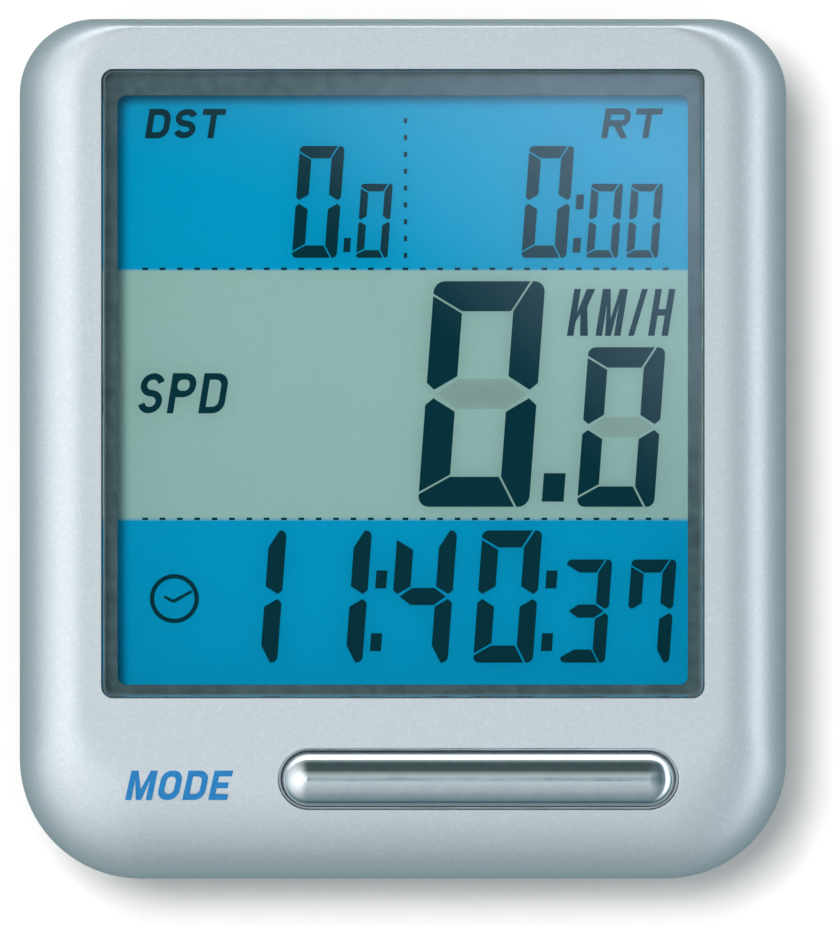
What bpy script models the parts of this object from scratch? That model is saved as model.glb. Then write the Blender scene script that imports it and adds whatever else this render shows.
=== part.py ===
"""Cycling computer head unit, lying on its back with the display facing up.

Metres. +Z leaves the display, +Y points to the display's top and +X to its right.
The origin is the middle of the unit's footprint, on the surface that its bracket rails rest on.
"""

import math

import bmesh
import bpy
from mathutils import Matrix

MM = 0.001

# ---------------------------------------------------------------- driving dimensions

# Case outline, seen from above.
CASE_WIDTH = 44.6 * MM
CASE_HEIGHT = 50.0 * MM
CORNER_TOP = 4.4 * MM
CORNER_BOTTOM = 7.0 * MM

# How far the front face is drawn in from the outline by the swept shoulder, and its corners there.
SHOULDER_SIDE = 3.8 * MM
SHOULDER_TOP = 0.7 * MM
SHOULDER_BOTTOM = 6.2 * MM
CROWN_CORNER_TOP = 3.6 * MM
CROWN_CORNER_BOTTOM = 4.0 * MM

# Heights of the case.
RAIL_DROP = 2.2 * MM
FRONT_WALL_DEPTH = 4.4 * MM
SHOULDER_RISE = 4.0 * MM
PARTING_GAP = 0.1 * MM
WALL = 1.8 * MM
ROOF = 1.5 * MM
REAR_FLOOR = 1.5 * MM
REAR_EDGE_ROUND = 1.6 * MM

# Display window: margins from the case outline to the opening in the front cover.
WINDOW_MARGIN_SIDE = 4.85 * MM
WINDOW_MARGIN_TOP = 3.03 * MM
WINDOW_MARGIN_BOTTOM = 10.57 * MM
WINDOW_CORNER = 0.7 * MM
WINDOW_GAP = 0.1 * MM
WINDOW_SINK = 0.05 * MM
WINDOW_FLANGE = 0.9 * MM
WINDOW_FLANGE_THICKNESS = 0.8 * MM
TAPE_THICKNESS = 0.15 * MM

# LCD: the area that shows lies inside the window opening by these margins.
VIEW_MARGIN_SIDE = 0.9 * MM
VIEW_MARGIN_TOP = 1.465 * MM
VIEW_MARGIN_BOTTOM = 0.735 * MM
BEZEL_WIDTH_SIDE = 1.75 * MM
BEZEL_WIDTH_TOP = 2.0 * MM
BEZEL_WIDTH_BOTTOM = 1.65 * MM
BEZEL_THICKNESS = 1.0 * MM
POLARISER_THICKNESS = 0.2 * MM
GLASS_THICKNESS = 0.7 * MM
FILM_THICKNESS = 0.15 * MM
GLASS_OVERLAP = 0.75 * MM
GLASS_OVERLAP_TOP = 1.1 * MM
CONTACT_LEDGE = 2.3 * MM
REAR_GLASS_OVERLAP = 0.25 * MM
TRAY_WALL = 0.85 * MM
TRAY_FLOOR = 1.85 * MM
ZEBRA_WIDTH = 1.6 * MM
ZEBRA_SHORTER = 2.5 * MM

# Gaps: between stacked flat faces, around seated pieces, and around moving ones.
STACK_GAP = 0.05 * MM
SEAT_GAP = 0.1 * MM
SIDE_GAP = 0.15 * MM
POCKET_GAP = 0.2 * MM

# Circuit board.
BOARD_THICKNESS = 1.0 * MM
BOARD_EDGE_SIDE = 4.0 * MM
BOARD_EDGE_TOP = 2.8 * MM
BOARD_EDGE_BOTTOM = 3.4 * MM
BOARD_CORNER_TOP = 2.0 * MM
BOARD_CORNER_BOTTOM = 3.5 * MM

# Case screws: four, measured from the case outline.
CASE_SCREW_FROM_SIDE = 3.2 * MM
CASE_SCREW_FROM_TOP = 6.0 * MM
CASE_SCREW_FROM_BOTTOM = 10.4 * MM
CASE_SCREW_RADIUS = 0.7 * MM
CASE_SCREW_HEAD_RADIUS = 1.3 * MM
CASE_SCREW_HEAD_DEPTH = 0.9 * MM
CASE_SCREW_LENGTH = 7.25 * MM
CASE_SCREW_RECESS = 1.2 * MM
FRONT_BOSS_RADIUS = 1.3 * MM
FRONT_BOSS_LENGTH = 6.2 * MM
FRONT_BOSS_WEB = 1.0 * MM
WEB_ROOT = 0.4 * MM
REAR_POST_RADIUS = 2.1 * MM

# Board screws: four, driven up into the LCD tray.
BOARD_SCREW_FROM_TRAY_SIDE = 3.0 * MM
BOARD_SCREW_FROM_TRAY_TOP = 2.3 * MM
BOARD_SCREW_FROM_TRAY_BOTTOM = 6.1 * MM
BOARD_SCREW_RADIUS = 0.5 * MM
BOARD_SCREW_HEAD_RADIUS = 1.0 * MM
BOARD_SCREW_HEAD_DEPTH = 0.65 * MM
BOARD_SCREW_LENGTH = 2.4 * MM

# Screw slots and holes.
CROSS_SLOT_WIDTH = 0.35 * MM
CROSS_SLOT_DEPTH = 0.4 * MM
HOLE_GAP = 0.15 * MM

# How far a cutter runs past what it cuts.
OVERSHOOT = 1.0 * MM

# Case seal, in a groove along the front cover's rim.
SEAL_INSET = 0.6 * MM
SEAL_WIDTH = 0.6 * MM
SEAL_HEIGHT = 0.45 * MM

# Mode button: a chrome bar in a slot below the window. It stands proud by its travel.
BUTTON_BELOW_BEZEL = 0.245 * MM
BUTTON_FROM_RIGHT = 17.93 * MM
BUTTON_SLOT_LENGTH = 23.2 * MM
BUTTON_SLOT_WIDTH = 3.6 * MM
BUTTON_GAP = 0.15 * MM
BUTTON_FLANGE = 0.85 * MM
BUTTON_FLANGE_THICKNESS = 0.65 * MM
BUTTON_PROUD = 0.6 * MM
BUTTON_CROWN = 1.1 * MM
MEMBRANE_FLANGE = 1.0 * MM
MEMBRANE_THICKNESS = 0.6 * MM
MEMBRANE_PAD_LENGTH = 20.0 * MM
MEMBRANE_PAD_WIDTH = 2.6 * MM
PLUNGER_RADIUS = 1.2 * MM
DOME_RADIUS = 1.8 * MM
DOME_HEIGHT = 0.6 * MM

# Battery, a coin cell, and its quarter-turn cover.
BATTERY_FROM_TOP = 20.0 * MM
BATTERY_RADIUS = 10.0 * MM
BATTERY_HEIGHT = 3.2 * MM
BATTERY_LIP = 1.1 * MM
PARTING_ABOVE_BATTERY = 1.3 * MM
COVER_SIDE_GAP = 0.25 * MM
COVER_WALL = 0.55 * MM
COVER_FLANGE = 1.5 * MM
COVER_FLANGE_THICKNESS = 0.6 * MM
COVER_PROUD = 0.3 * MM
COVER_PLATE = 1.0 * MM
LUG_REACH = 0.9 * MM
LUG_THICKNESS = 0.7 * MM
LUG_RUNNING_GAP = 0.5 * MM
LUG_DEGREES = 24
LUG_NOTCH_DEGREES = 30
COVER_TURN_DEGREES = 50
COIN_SLOT_LENGTH = 14.0 * MM
COIN_SLOT_WIDTH = 1.8 * MM
COIN_SLOT_DEPTH = 0.6 * MM
LEDGE_THICKNESS = 0.8 * MM
BATTERY_RING_WALL = 1.1 * MM
O_RING_RADIUS = 0.38 * MM

# Battery contacts.
LEAF_THICKNESS = 0.2 * MM
LEAF_WIDTH = 4.0 * MM
LEAF_FOOT_FAR = 9.0 * MM
LEAF_FOOT_NEAR = 5.0 * MM
LEAF_REST = 0.8 * MM
LEAF_TIP = 1.8 * MM
LEAF_FROM_RING = 0.5 * MM

# Contacts towards the bracket.
STUD_SPACING = 10.0 * MM
STUD_FROM_BATTERY_RING = 3.7 * MM
STUD_HEAD_RADIUS = 1.6 * MM
STUD_HEAD_DEPTH = 0.6 * MM
STUD_SHANK_RADIUS = 1.0 * MM
STUD_LENGTH = 2.35 * MM
STUD_PROUD = 0.25 * MM
SPRING_RADIUS = 0.8 * MM
SPRING_WIRE = 0.15 * MM
SPRING_TURNS = 4

# Components under the board.
CHIP_RADIUS = 3.5 * MM
CHIP_HEIGHT = 1.3 * MM
CHIP_FROM_BOTTOM = 9.5 * MM
CRYSTAL_RADIUS = 1.0 * MM
CRYSTAL_LENGTH = 6.0 * MM
CRYSTAL_FROM_BOTTOM = 10.5 * MM
COMPONENT_FROM_CENTRE = 12.5 * MM
CAPACITOR_LENGTH = 1.6 * MM
CAPACITOR_WIDTH = 0.8 * MM
CAPACITOR_FROM_BOTTOM = 7.0 * MM
CAPACITOR_PITCH = 2.5 * MM

# Rails that slide onto the bracket.
RAIL_BESIDE_BATTERY = 0.5 * MM
RAIL_LIP = 1.2 * MM
RAIL_LIP_THICKNESS = 0.9 * MM
RAIL_WEB = 2.2 * MM
RAIL_BELOW_BATTERY = 17.0 * MM
RAIL_ABOVE_BATTERY = 9.0 * MM
RAIL_ROOT = 0.4 * MM
END_STOP = 1.2 * MM
LATCH_WIDTH = 6.0 * MM
LATCH_LENGTH = 1.3 * MM
LATCH_DEPTH = 0.8 * MM
LATCH_FROM_BOTTOM = 5.5 * MM

# How finely round shapes are drawn.
CORNER_STEPS = 6
SHOULDER_STEPS = 7
LARGE_ROUND = 48
SMALL_ROUND = 16
SHARP_ANGLE = math.radians(32)

# ---------------------------------------------------------------- places worked out from them

HALF_WIDTH = CASE_WIDTH / 2
HALF_HEIGHT = CASE_HEIGHT / 2

REAR_FACE = RAIL_DROP
REAR_FLOOR_TOP = REAR_FACE + REAR_FLOOR
COVER_FACE = REAR_FACE - COVER_PROUD
COVER_PLATE_TOP = COVER_FACE + COVER_PLATE
BATTERY_BOTTOM = COVER_PLATE_TOP + SEAT_GAP
BATTERY_TOP = BATTERY_BOTTOM + BATTERY_HEIGHT
PARTING = BATTERY_TOP + PARTING_ABOVE_BATTERY
FRONT_BOTTOM = PARTING + PARTING_GAP
SHOULDER_START = FRONT_BOTTOM + FRONT_WALL_DEPTH
CROWN = SHOULDER_START + SHOULDER_RISE

POCKET_ROOF = CROWN - ROOF + STACK_GAP
TAPE_TOP = POCKET_ROOF - STACK_GAP
TAPE_BOTTOM = TAPE_TOP - TAPE_THICKNESS
FLANGE_TOP = TAPE_BOTTOM - STACK_GAP
FLANGE_BOTTOM = FLANGE_TOP - WINDOW_FLANGE_THICKNESS
WINDOW_TOP = CROWN - WINDOW_SINK
BEZEL_TOP = FLANGE_BOTTOM - SEAT_GAP
BEZEL_BOTTOM = BEZEL_TOP - BEZEL_THICKNESS
POLARISER_TOP = BEZEL_BOTTOM - SEAT_GAP
POLARISER_BOTTOM = POLARISER_TOP - POLARISER_THICKNESS
TRAY_TOP = POLARISER_TOP - STACK_GAP
FRONT_GLASS_TOP = POLARISER_BOTTOM - STACK_GAP
FRONT_GLASS_BOTTOM = FRONT_GLASS_TOP - GLASS_THICKNESS
REAR_GLASS_TOP = FRONT_GLASS_BOTTOM - STACK_GAP
REAR_GLASS_BOTTOM = REAR_GLASS_TOP - GLASS_THICKNESS
COLOUR_TOP = REAR_GLASS_BOTTOM - STACK_GAP
COLOUR_BOTTOM = COLOUR_TOP - FILM_THICKNESS
REFLECTOR_TOP = COLOUR_BOTTOM - STACK_GAP
REFLECTOR_BOTTOM = REFLECTOR_TOP - FILM_THICKNESS
TRAY_FLOOR_TOP = REFLECTOR_BOTTOM - STACK_GAP
TRAY_BOTTOM = TRAY_FLOOR_TOP - TRAY_FLOOR
BOARD_TOP = TRAY_BOTTOM - SEAT_GAP
BOARD_BOTTOM = BOARD_TOP - BOARD_THICKNESS
POST_TOP = BOARD_BOTTOM - POCKET_GAP
FRONT_BOSS_BOTTOM = POST_TOP + SEAT_GAP

CASE_SCREW_X = HALF_WIDTH - CASE_SCREW_FROM_SIDE
CASE_SCREW_HIGH_Y = HALF_HEIGHT - CASE_SCREW_FROM_TOP
CASE_SCREW_LOW_Y = -HALF_HEIGHT + CASE_SCREW_FROM_BOTTOM

BATTERY_Y = HALF_HEIGHT - BATTERY_FROM_TOP
COVER_FLANGE_TOP = COVER_FACE + COVER_FLANGE_THICKNESS
COVER_WALL_INSIDE = BATTERY_RADIUS + COVER_SIDE_GAP
COVER_WALL_OUTSIDE = COVER_WALL_INSIDE + COVER_WALL
COVER_RADIUS = COVER_WALL_OUTSIDE + COVER_FLANGE
BORE_RADIUS = COVER_WALL_OUTSIDE + POCKET_GAP
COVER_RECESS_RADIUS = COVER_RADIUS + POCKET_GAP
LEDGE_BOTTOM = COVER_FLANGE_TOP + 2 * O_RING_RADIUS + 2 * STACK_GAP
LEDGE_TOP = LEDGE_BOTTOM + LEDGE_THICKNESS
LUG_BOTTOM = LEDGE_TOP + SEAT_GAP
LUG_TOP = LUG_BOTTOM + LUG_THICKNESS
LUG_RADIUS = COVER_WALL_OUTSIDE + LUG_REACH
RING_INSIDE = LUG_RADIUS + LUG_RUNNING_GAP
RING_OUTSIDE = RING_INSIDE + BATTERY_RING_WALL
RING_TOP = POST_TOP - SEAT_GAP

STUD_Y = BATTERY_Y - RING_OUTSIDE - STUD_FROM_BATTERY_RING
STUD_HEAD_BOTTOM = REAR_FACE - STUD_PROUD
STUD_HEAD_TOP = STUD_HEAD_BOTTOM + STUD_HEAD_DEPTH
STUD_TOP = STUD_HEAD_BOTTOM + STUD_LENGTH

RAIL_INSIDE = COVER_RECESS_RADIUS + RAIL_BESIDE_BATTERY
RAIL_WEB_INSIDE = RAIL_INSIDE + RAIL_LIP
RAIL_OUTSIDE = RAIL_WEB_INSIDE + RAIL_WEB
RAIL_LOW_Y = BATTERY_Y - RAIL_BELOW_BATTERY
RAIL_HIGH_Y = BATTERY_Y + RAIL_ABOVE_BATTERY


def grow(box, side, bottom=None, top=None):
    """A box (left, right, bottom, top) grown outwards, by one amount or by three."""
    bottom = side if bottom is None else bottom
    top = side if top is None else top
    return (box[0] - side, box[1] + side, box[2] - bottom, box[3] + top)


CASE_BOX = (-HALF_WIDTH, HALF_WIDTH, -HALF_HEIGHT, HALF_HEIGHT)
WINDOW_BOX = grow(CASE_BOX, -WINDOW_MARGIN_SIDE, -WINDOW_MARGIN_BOTTOM, -WINDOW_MARGIN_TOP)
FLANGE_BOX = grow(WINDOW_BOX, WINDOW_FLANGE)
VIEW_BOX = grow(WINDOW_BOX, -VIEW_MARGIN_SIDE, -VIEW_MARGIN_BOTTOM, -VIEW_MARGIN_TOP)
BEZEL_BOX = grow(VIEW_BOX, BEZEL_WIDTH_SIDE, BEZEL_WIDTH_BOTTOM, BEZEL_WIDTH_TOP)
POLARISER_BOX = grow(VIEW_BOX, GLASS_OVERLAP - SIDE_GAP, GLASS_OVERLAP - SIDE_GAP, GLASS_OVERLAP - SIDE_GAP)
FRONT_GLASS_BOX = grow(VIEW_BOX, GLASS_OVERLAP, CONTACT_LEDGE, GLASS_OVERLAP_TOP)
REAR_GLASS_BOX = grow(VIEW_BOX, GLASS_OVERLAP, REAR_GLASS_OVERLAP, GLASS_OVERLAP_TOP)
FILM_BOX = grow(REAR_GLASS_BOX, -SEAT_GAP, -SIDE_GAP, -SIDE_GAP)
RECESS_BOX = grow(FRONT_GLASS_BOX, SIDE_GAP)
TRAY_BOX = grow(RECESS_BOX, TRAY_WALL)
BOARD_BOX = grow(CASE_BOX, -BOARD_EDGE_SIDE, -BOARD_EDGE_BOTTOM, -BOARD_EDGE_TOP)

BUTTON_X = HALF_WIDTH - BUTTON_FROM_RIGHT
BUTTON_LENGTH = BUTTON_SLOT_LENGTH - 2 * BUTTON_GAP
BUTTON_WIDTH = BUTTON_SLOT_WIDTH - 2 * BUTTON_GAP
BUTTON_FLANGE_TOP = POCKET_ROOF - SIDE_GAP
BUTTON_FLANGE_BOTTOM = BUTTON_FLANGE_TOP - BUTTON_FLANGE_THICKNESS
BUTTON_TOP = CROWN + BUTTON_PROUD
MEMBRANE_BOTTOM = TRAY_TOP + SEAT_GAP
MEMBRANE_TOP = MEMBRANE_BOTTOM + MEMBRANE_THICKNESS
DOME_BOTTOM = BOARD_TOP + STACK_GAP
DOME_TOP = DOME_BOTTOM + DOME_HEIGHT
MEMBRANE_WIDTH = BUTTON_WIDTH + 2 * (BUTTON_FLANGE + MEMBRANE_FLANGE)
BUTTON_Y = BEZEL_BOX[2] - BUTTON_BELOW_BEZEL - MEMBRANE_WIDTH / 2

CASE_SCREW_PLACES = [
    (CASE_SCREW_X, CASE_SCREW_HIGH_Y),
    (-CASE_SCREW_X, CASE_SCREW_HIGH_Y),
    (-CASE_SCREW_X, CASE_SCREW_LOW_Y),
    (CASE_SCREW_X, CASE_SCREW_LOW_Y),
]
BOARD_SCREW_X = TRAY_BOX[1] - BOARD_SCREW_FROM_TRAY_SIDE
BOARD_SCREW_HIGH_Y = TRAY_BOX[3] - BOARD_SCREW_FROM_TRAY_TOP
BOARD_SCREW_LOW_Y = TRAY_BOX[2] + BOARD_SCREW_FROM_TRAY_BOTTOM
BOARD_SCREW_PLACES = [
    (BOARD_SCREW_X, BOARD_SCREW_HIGH_Y),
    (-BOARD_SCREW_X, BOARD_SCREW_HIGH_Y),
    (-BOARD_SCREW_X, BOARD_SCREW_LOW_Y),
    (BOARD_SCREW_X, BOARD_SCREW_LOW_Y),
]

# ---------------------------------------------------------------- scene and helpers

for old in list(bpy.data.objects):
    bpy.data.objects.remove(old, do_unlink=True)

PARTS = bpy.data.collections.new("cycling_computer")
CUTTERS = bpy.data.collections.new("cutters")
bpy.context.scene.collection.children.link(PARTS)
bpy.context.scene.collection.children.link(CUTTERS)


def material(name, colour, roughness, metallic=0.0):
    """A Principled material with one colour."""
    made = bpy.data.materials.new(name)
    made.use_nodes = True
    shader = made.node_tree.nodes["Principled BSDF"]
    shader.inputs["Base Color"].default_value = (*colour, 1.0)
    shader.inputs["Roughness"].default_value = roughness
    shader.inputs["Metallic"].default_value = metallic
    return made


def smooth(mesh):
    """Shade a mesh smooth, with its real edges left sharp."""
    mesh.shade_smooth()
    mesh.set_sharp_from_angle(angle=SHARP_ANGLE)
    return mesh


def mesh_of(guide):
    """The welded mesh that an object's curve or modifiers make; the object is removed."""
    bpy.context.scene.collection.objects.link(guide)
    bpy.context.view_layer.update()
    graph = bpy.context.evaluated_depsgraph_get()
    mesh = bpy.data.meshes.new_from_object(guide.evaluated_get(graph))
    bpy.data.objects.remove(guide, do_unlink=True)
    bm = bmesh.new()
    bm.from_mesh(mesh)
    bmesh.ops.remove_doubles(bm, verts=bm.verts, dist=0.001 * MM)
    bmesh.ops.recalc_face_normals(bm, faces=bm.faces)
    bm.to_mesh(mesh)
    bm.free()
    mesh.materials.clear()
    return smooth(mesh)


def mesh_from(bm, name):
    """The mesh of a bmesh, which is freed."""
    mesh = bpy.data.meshes.new(name)
    bm.to_mesh(mesh)
    bm.free()
    return smooth(mesh)


def block(left, right, low_y, high_y, bottom, top):
    """A box between two corners."""
    size = Matrix.Diagonal((right - left, high_y - low_y, top - bottom, 1.0))
    middle = Matrix.Translation(((left + right) / 2, (low_y + high_y) / 2, (bottom + top) / 2))
    bm = bmesh.new()
    bmesh.ops.create_cube(bm, size=1.0, matrix=middle @ size)
    return mesh_from(bm, "block")


def cylinder(radius, bottom, top, x=0.0, y=0.0, segments=SMALL_ROUND):
    """An upright cylinder."""
    bm = bmesh.new()
    middle = Matrix.Translation((x, y, (bottom + top) / 2))
    bmesh.ops.create_cone(bm, cap_ends=True, segments=segments, radius1=radius, radius2=radius,
                          depth=top - bottom, matrix=middle)
    return mesh_from(bm, "cylinder")


def plate(outlines, bottom, top):
    """A flat piece between two heights; an outline inside another is a hole."""
    curve = bpy.data.curves.new("plate", "CURVE")
    curve.dimensions = "2D"
    curve.fill_mode = "BOTH"
    curve.extrude = (top - bottom) / 2
    for outline in outlines:
        spline = curve.splines.new("POLY")
        spline.points.add(len(outline) - 1)
        for point, (x, y) in zip(spline.points, outline):
            point.co = (x, y, 0.0, 1.0)
        spline.use_cyclic_u = True
    mesh = mesh_of(bpy.data.objects.new("plate", curve))
    mesh.transform(Matrix.Translation((0.0, 0.0, (bottom + top) / 2)))
    return mesh


def side_profile(outline, width, turn):
    """A strip bent to an outline (along, up), of this width, turned about the vertical."""
    mesh = plate([outline], -width / 2, width / 2)
    mesh.transform(Matrix.Rotation(turn, 4, "Z") @ Matrix.Rotation(math.pi / 2, 4, "X"))
    return mesh


def loft(rings):
    """A closed solid through rings (outline, height) that have equally many points."""
    bm = bmesh.new()
    loops = [[bm.verts.new((x, y, height)) for x, y in outline] for outline, height in rings]
    for lower, upper in zip(loops, loops[1:]):
        for index, corner in enumerate(lower):
            following = (index + 1) % len(lower)
            bm.faces.new((corner, lower[following], upper[following], upper[index]))
    bm.faces.new(reversed(loops[0]))
    bm.faces.new(loops[-1])
    return mesh_from(bm, "loft")


def turned(profile, steps=LARGE_ROUND):
    """A turned solid; the profile (radius, height) runs from the axis down its outer side."""
    mesh = bpy.data.meshes.new("profile")
    edges = [(index, index + 1) for index in range(len(profile) - 1)]
    mesh.from_pydata([(radius, 0.0, height) for radius, height in profile], edges, [])
    guide = bpy.data.objects.new("profile", mesh)
    screw = guide.modifiers.new("Screw", "SCREW")
    screw.steps = steps
    screw.render_steps = steps
    screw.use_merge_vertices = True
    screw.merge_threshold = 0.001 * MM
    return mesh_of(guide)


def rounded_rectangle(box, corner_top, corner_bottom=None):
    """Points round a box (left, right, bottom, top) with rounded corners, anticlockwise."""
    corner_bottom = corner_top if corner_bottom is None else corner_bottom
    left, right, bottom, top = box
    corners = [
        (right - corner_bottom, bottom + corner_bottom, corner_bottom, 270),
        (right - corner_top, top - corner_top, corner_top, 0),
        (left + corner_top, top - corner_top, corner_top, 90),
        (left + corner_bottom, bottom + corner_bottom, corner_bottom, 180),
    ]
    points = []
    for x, y, radius, start in corners:
        for step in range(CORNER_STEPS + 1):
            angle = math.radians(start + 90 * step / CORNER_STEPS)
            points.append((x + radius * math.cos(angle), y + radius * math.sin(angle)))
    return points


def stadium(length, width):
    """Points round a bar with half-round ends, about its centre, anticlockwise."""
    reach = (length - width) / 2
    points = []
    for x, start in ((reach, -90), (-reach, 90)):
        for step in range(2 * CORNER_STEPS + 1):
            angle = math.radians(start + 90 * step / CORNER_STEPS)
            points.append((x + width / 2 * math.cos(angle), width / 2 * math.sin(angle)))
    return points


def sector(inside, outside, middle, spread):
    """Points round a ring's sector, with its middle direction and spread in degrees."""
    steps = 6
    angles = [math.radians(middle + spread * (step / steps - 0.5)) for step in range(steps + 1)]
    outer = [(outside * math.cos(angle), outside * math.sin(angle)) for angle in angles]
    inner = [(inside * math.cos(angle), inside * math.sin(angle)) for angle in reversed(angles)]
    return outer + inner


def case_outline(inset, shoulder=0.0):
    """The case outline drawn in by a wall, and by a share of the swept shoulder."""
    side = inset + SHOULDER_SIDE * shoulder
    bottom = inset + SHOULDER_BOTTOM * shoulder
    top = inset + SHOULDER_TOP * shoulder
    corner_top = CORNER_TOP + (CROWN_CORNER_TOP - CORNER_TOP) * shoulder - inset
    corner_bottom = CORNER_BOTTOM + (CROWN_CORNER_BOTTOM - CORNER_BOTTOM) * shoulder - inset
    return rounded_rectangle(grow(CASE_BOX, -side, -bottom, -top), corner_top, corner_bottom)


def shoulder_rings(inset, rise):
    """Rings up the swept shoulder, a quarter ellipse of this rise."""
    rings = []
    for step in range(SHOULDER_STEPS + 1):
        angle = math.pi / 2 * step / SHOULDER_STEPS
        rings.append((case_outline(inset, 1 - math.cos(angle)), SHOULDER_START + rise * math.sin(angle)))
    return rings


def part(name, mesh, finish, x=0.0, y=0.0):
    """A named sub-part with its own material, its origin at (x, y)."""
    mesh.name = name
    mesh.materials.append(finish)
    made = bpy.data.objects.new(name, mesh)
    made.location = (x, y, 0.0)
    PARTS.objects.link(made)
    return made


def combine(target, mesh, operation, x, y):
    """Join a shape to a part, or cut it away, with a live Boolean."""
    tool = bpy.data.objects.new(f"{target.name}_{operation.lower()}_{len(target.modifiers)}", mesh)
    tool.location = (x, y, 0.0)
    tool.hide_render = True
    tool.display_type = "WIRE"
    CUTTERS.objects.link(tool)
    boolean = target.modifiers.new(tool.name, "BOOLEAN")
    boolean.operation = operation
    boolean.object = tool


def cut(target, mesh, x=0.0, y=0.0):
    combine(target, mesh, "DIFFERENCE", x, y)


def join(target, mesh, x=0.0, y=0.0):
    combine(target, mesh, "UNION", x, y)


# ---------------------------------------------------------------- materials

SILVER_PAINT = material("silver_paint", (0.56, 0.63, 0.70), 0.35, 0.6)
GREY_ABS = material("grey_abs", (0.20, 0.22, 0.24), 0.55)
CLEAR_WINDOW = material("clear_acrylic", (0.85, 0.92, 0.95), 0.05)
ADHESIVE_TAPE = material("adhesive_tape", (0.02, 0.02, 0.02), 0.8)
BEZEL_PLASTIC = material("bezel_plastic", (0.10, 0.16, 0.18), 0.6)
POLARISER_FILM = material("polariser_film", (0.35, 0.38, 0.36), 0.1)
LCD_GLASS = material("lcd_glass", (0.70, 0.80, 0.78), 0.05)
COLOUR_FILM = material("colour_film", (0.05, 0.35, 0.55), 0.4)
REFLECTOR_FILM = material("reflector_film", (0.80, 0.82, 0.84), 0.25, 0.9)
TRAY_PLASTIC = material("tray_plastic", (0.75, 0.76, 0.72), 0.5)
ZEBRA_RUBBER = material("zebra_rubber", (0.45, 0.18, 0.20), 0.7)
BOARD_LAMINATE = material("board_laminate", (0.03, 0.20, 0.08), 0.45)
CHIP_EPOXY = material("chip_epoxy", (0.01, 0.01, 0.01), 0.35)
CRYSTAL_CAN = material("crystal_can", (0.75, 0.75, 0.76), 0.25, 1.0)
CAPACITOR_CERAMIC = material("capacitor_ceramic", (0.35, 0.25, 0.16), 0.5)
SCREW_STEEL = material("screw_steel", (0.55, 0.56, 0.58), 0.3, 1.0)
CHROME = material("chrome", (0.75, 0.78, 0.80), 0.08, 1.0)
MEMBRANE_SILICONE = material("membrane_silicone", (0.35, 0.37, 0.38), 0.6)
DOME_STEEL = material("dome_steel", (0.65, 0.65, 0.66), 0.25, 1.0)
CELL_STEEL = material("cell_steel", (0.70, 0.71, 0.72), 0.25, 1.0)
CONTACT_STEEL = material("contact_steel", (0.72, 0.70, 0.66), 0.3, 1.0)
COVER_ABS = material("cover_abs", (0.16, 0.18, 0.20), 0.5)
SEAL_RUBBER = material("seal_rubber", (0.02, 0.02, 0.02), 0.85)
STUD_GOLD = material("stud_gold", (0.85, 0.65, 0.30), 0.25, 1.0)


# ---------------------------------------------------------------- covers


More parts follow.
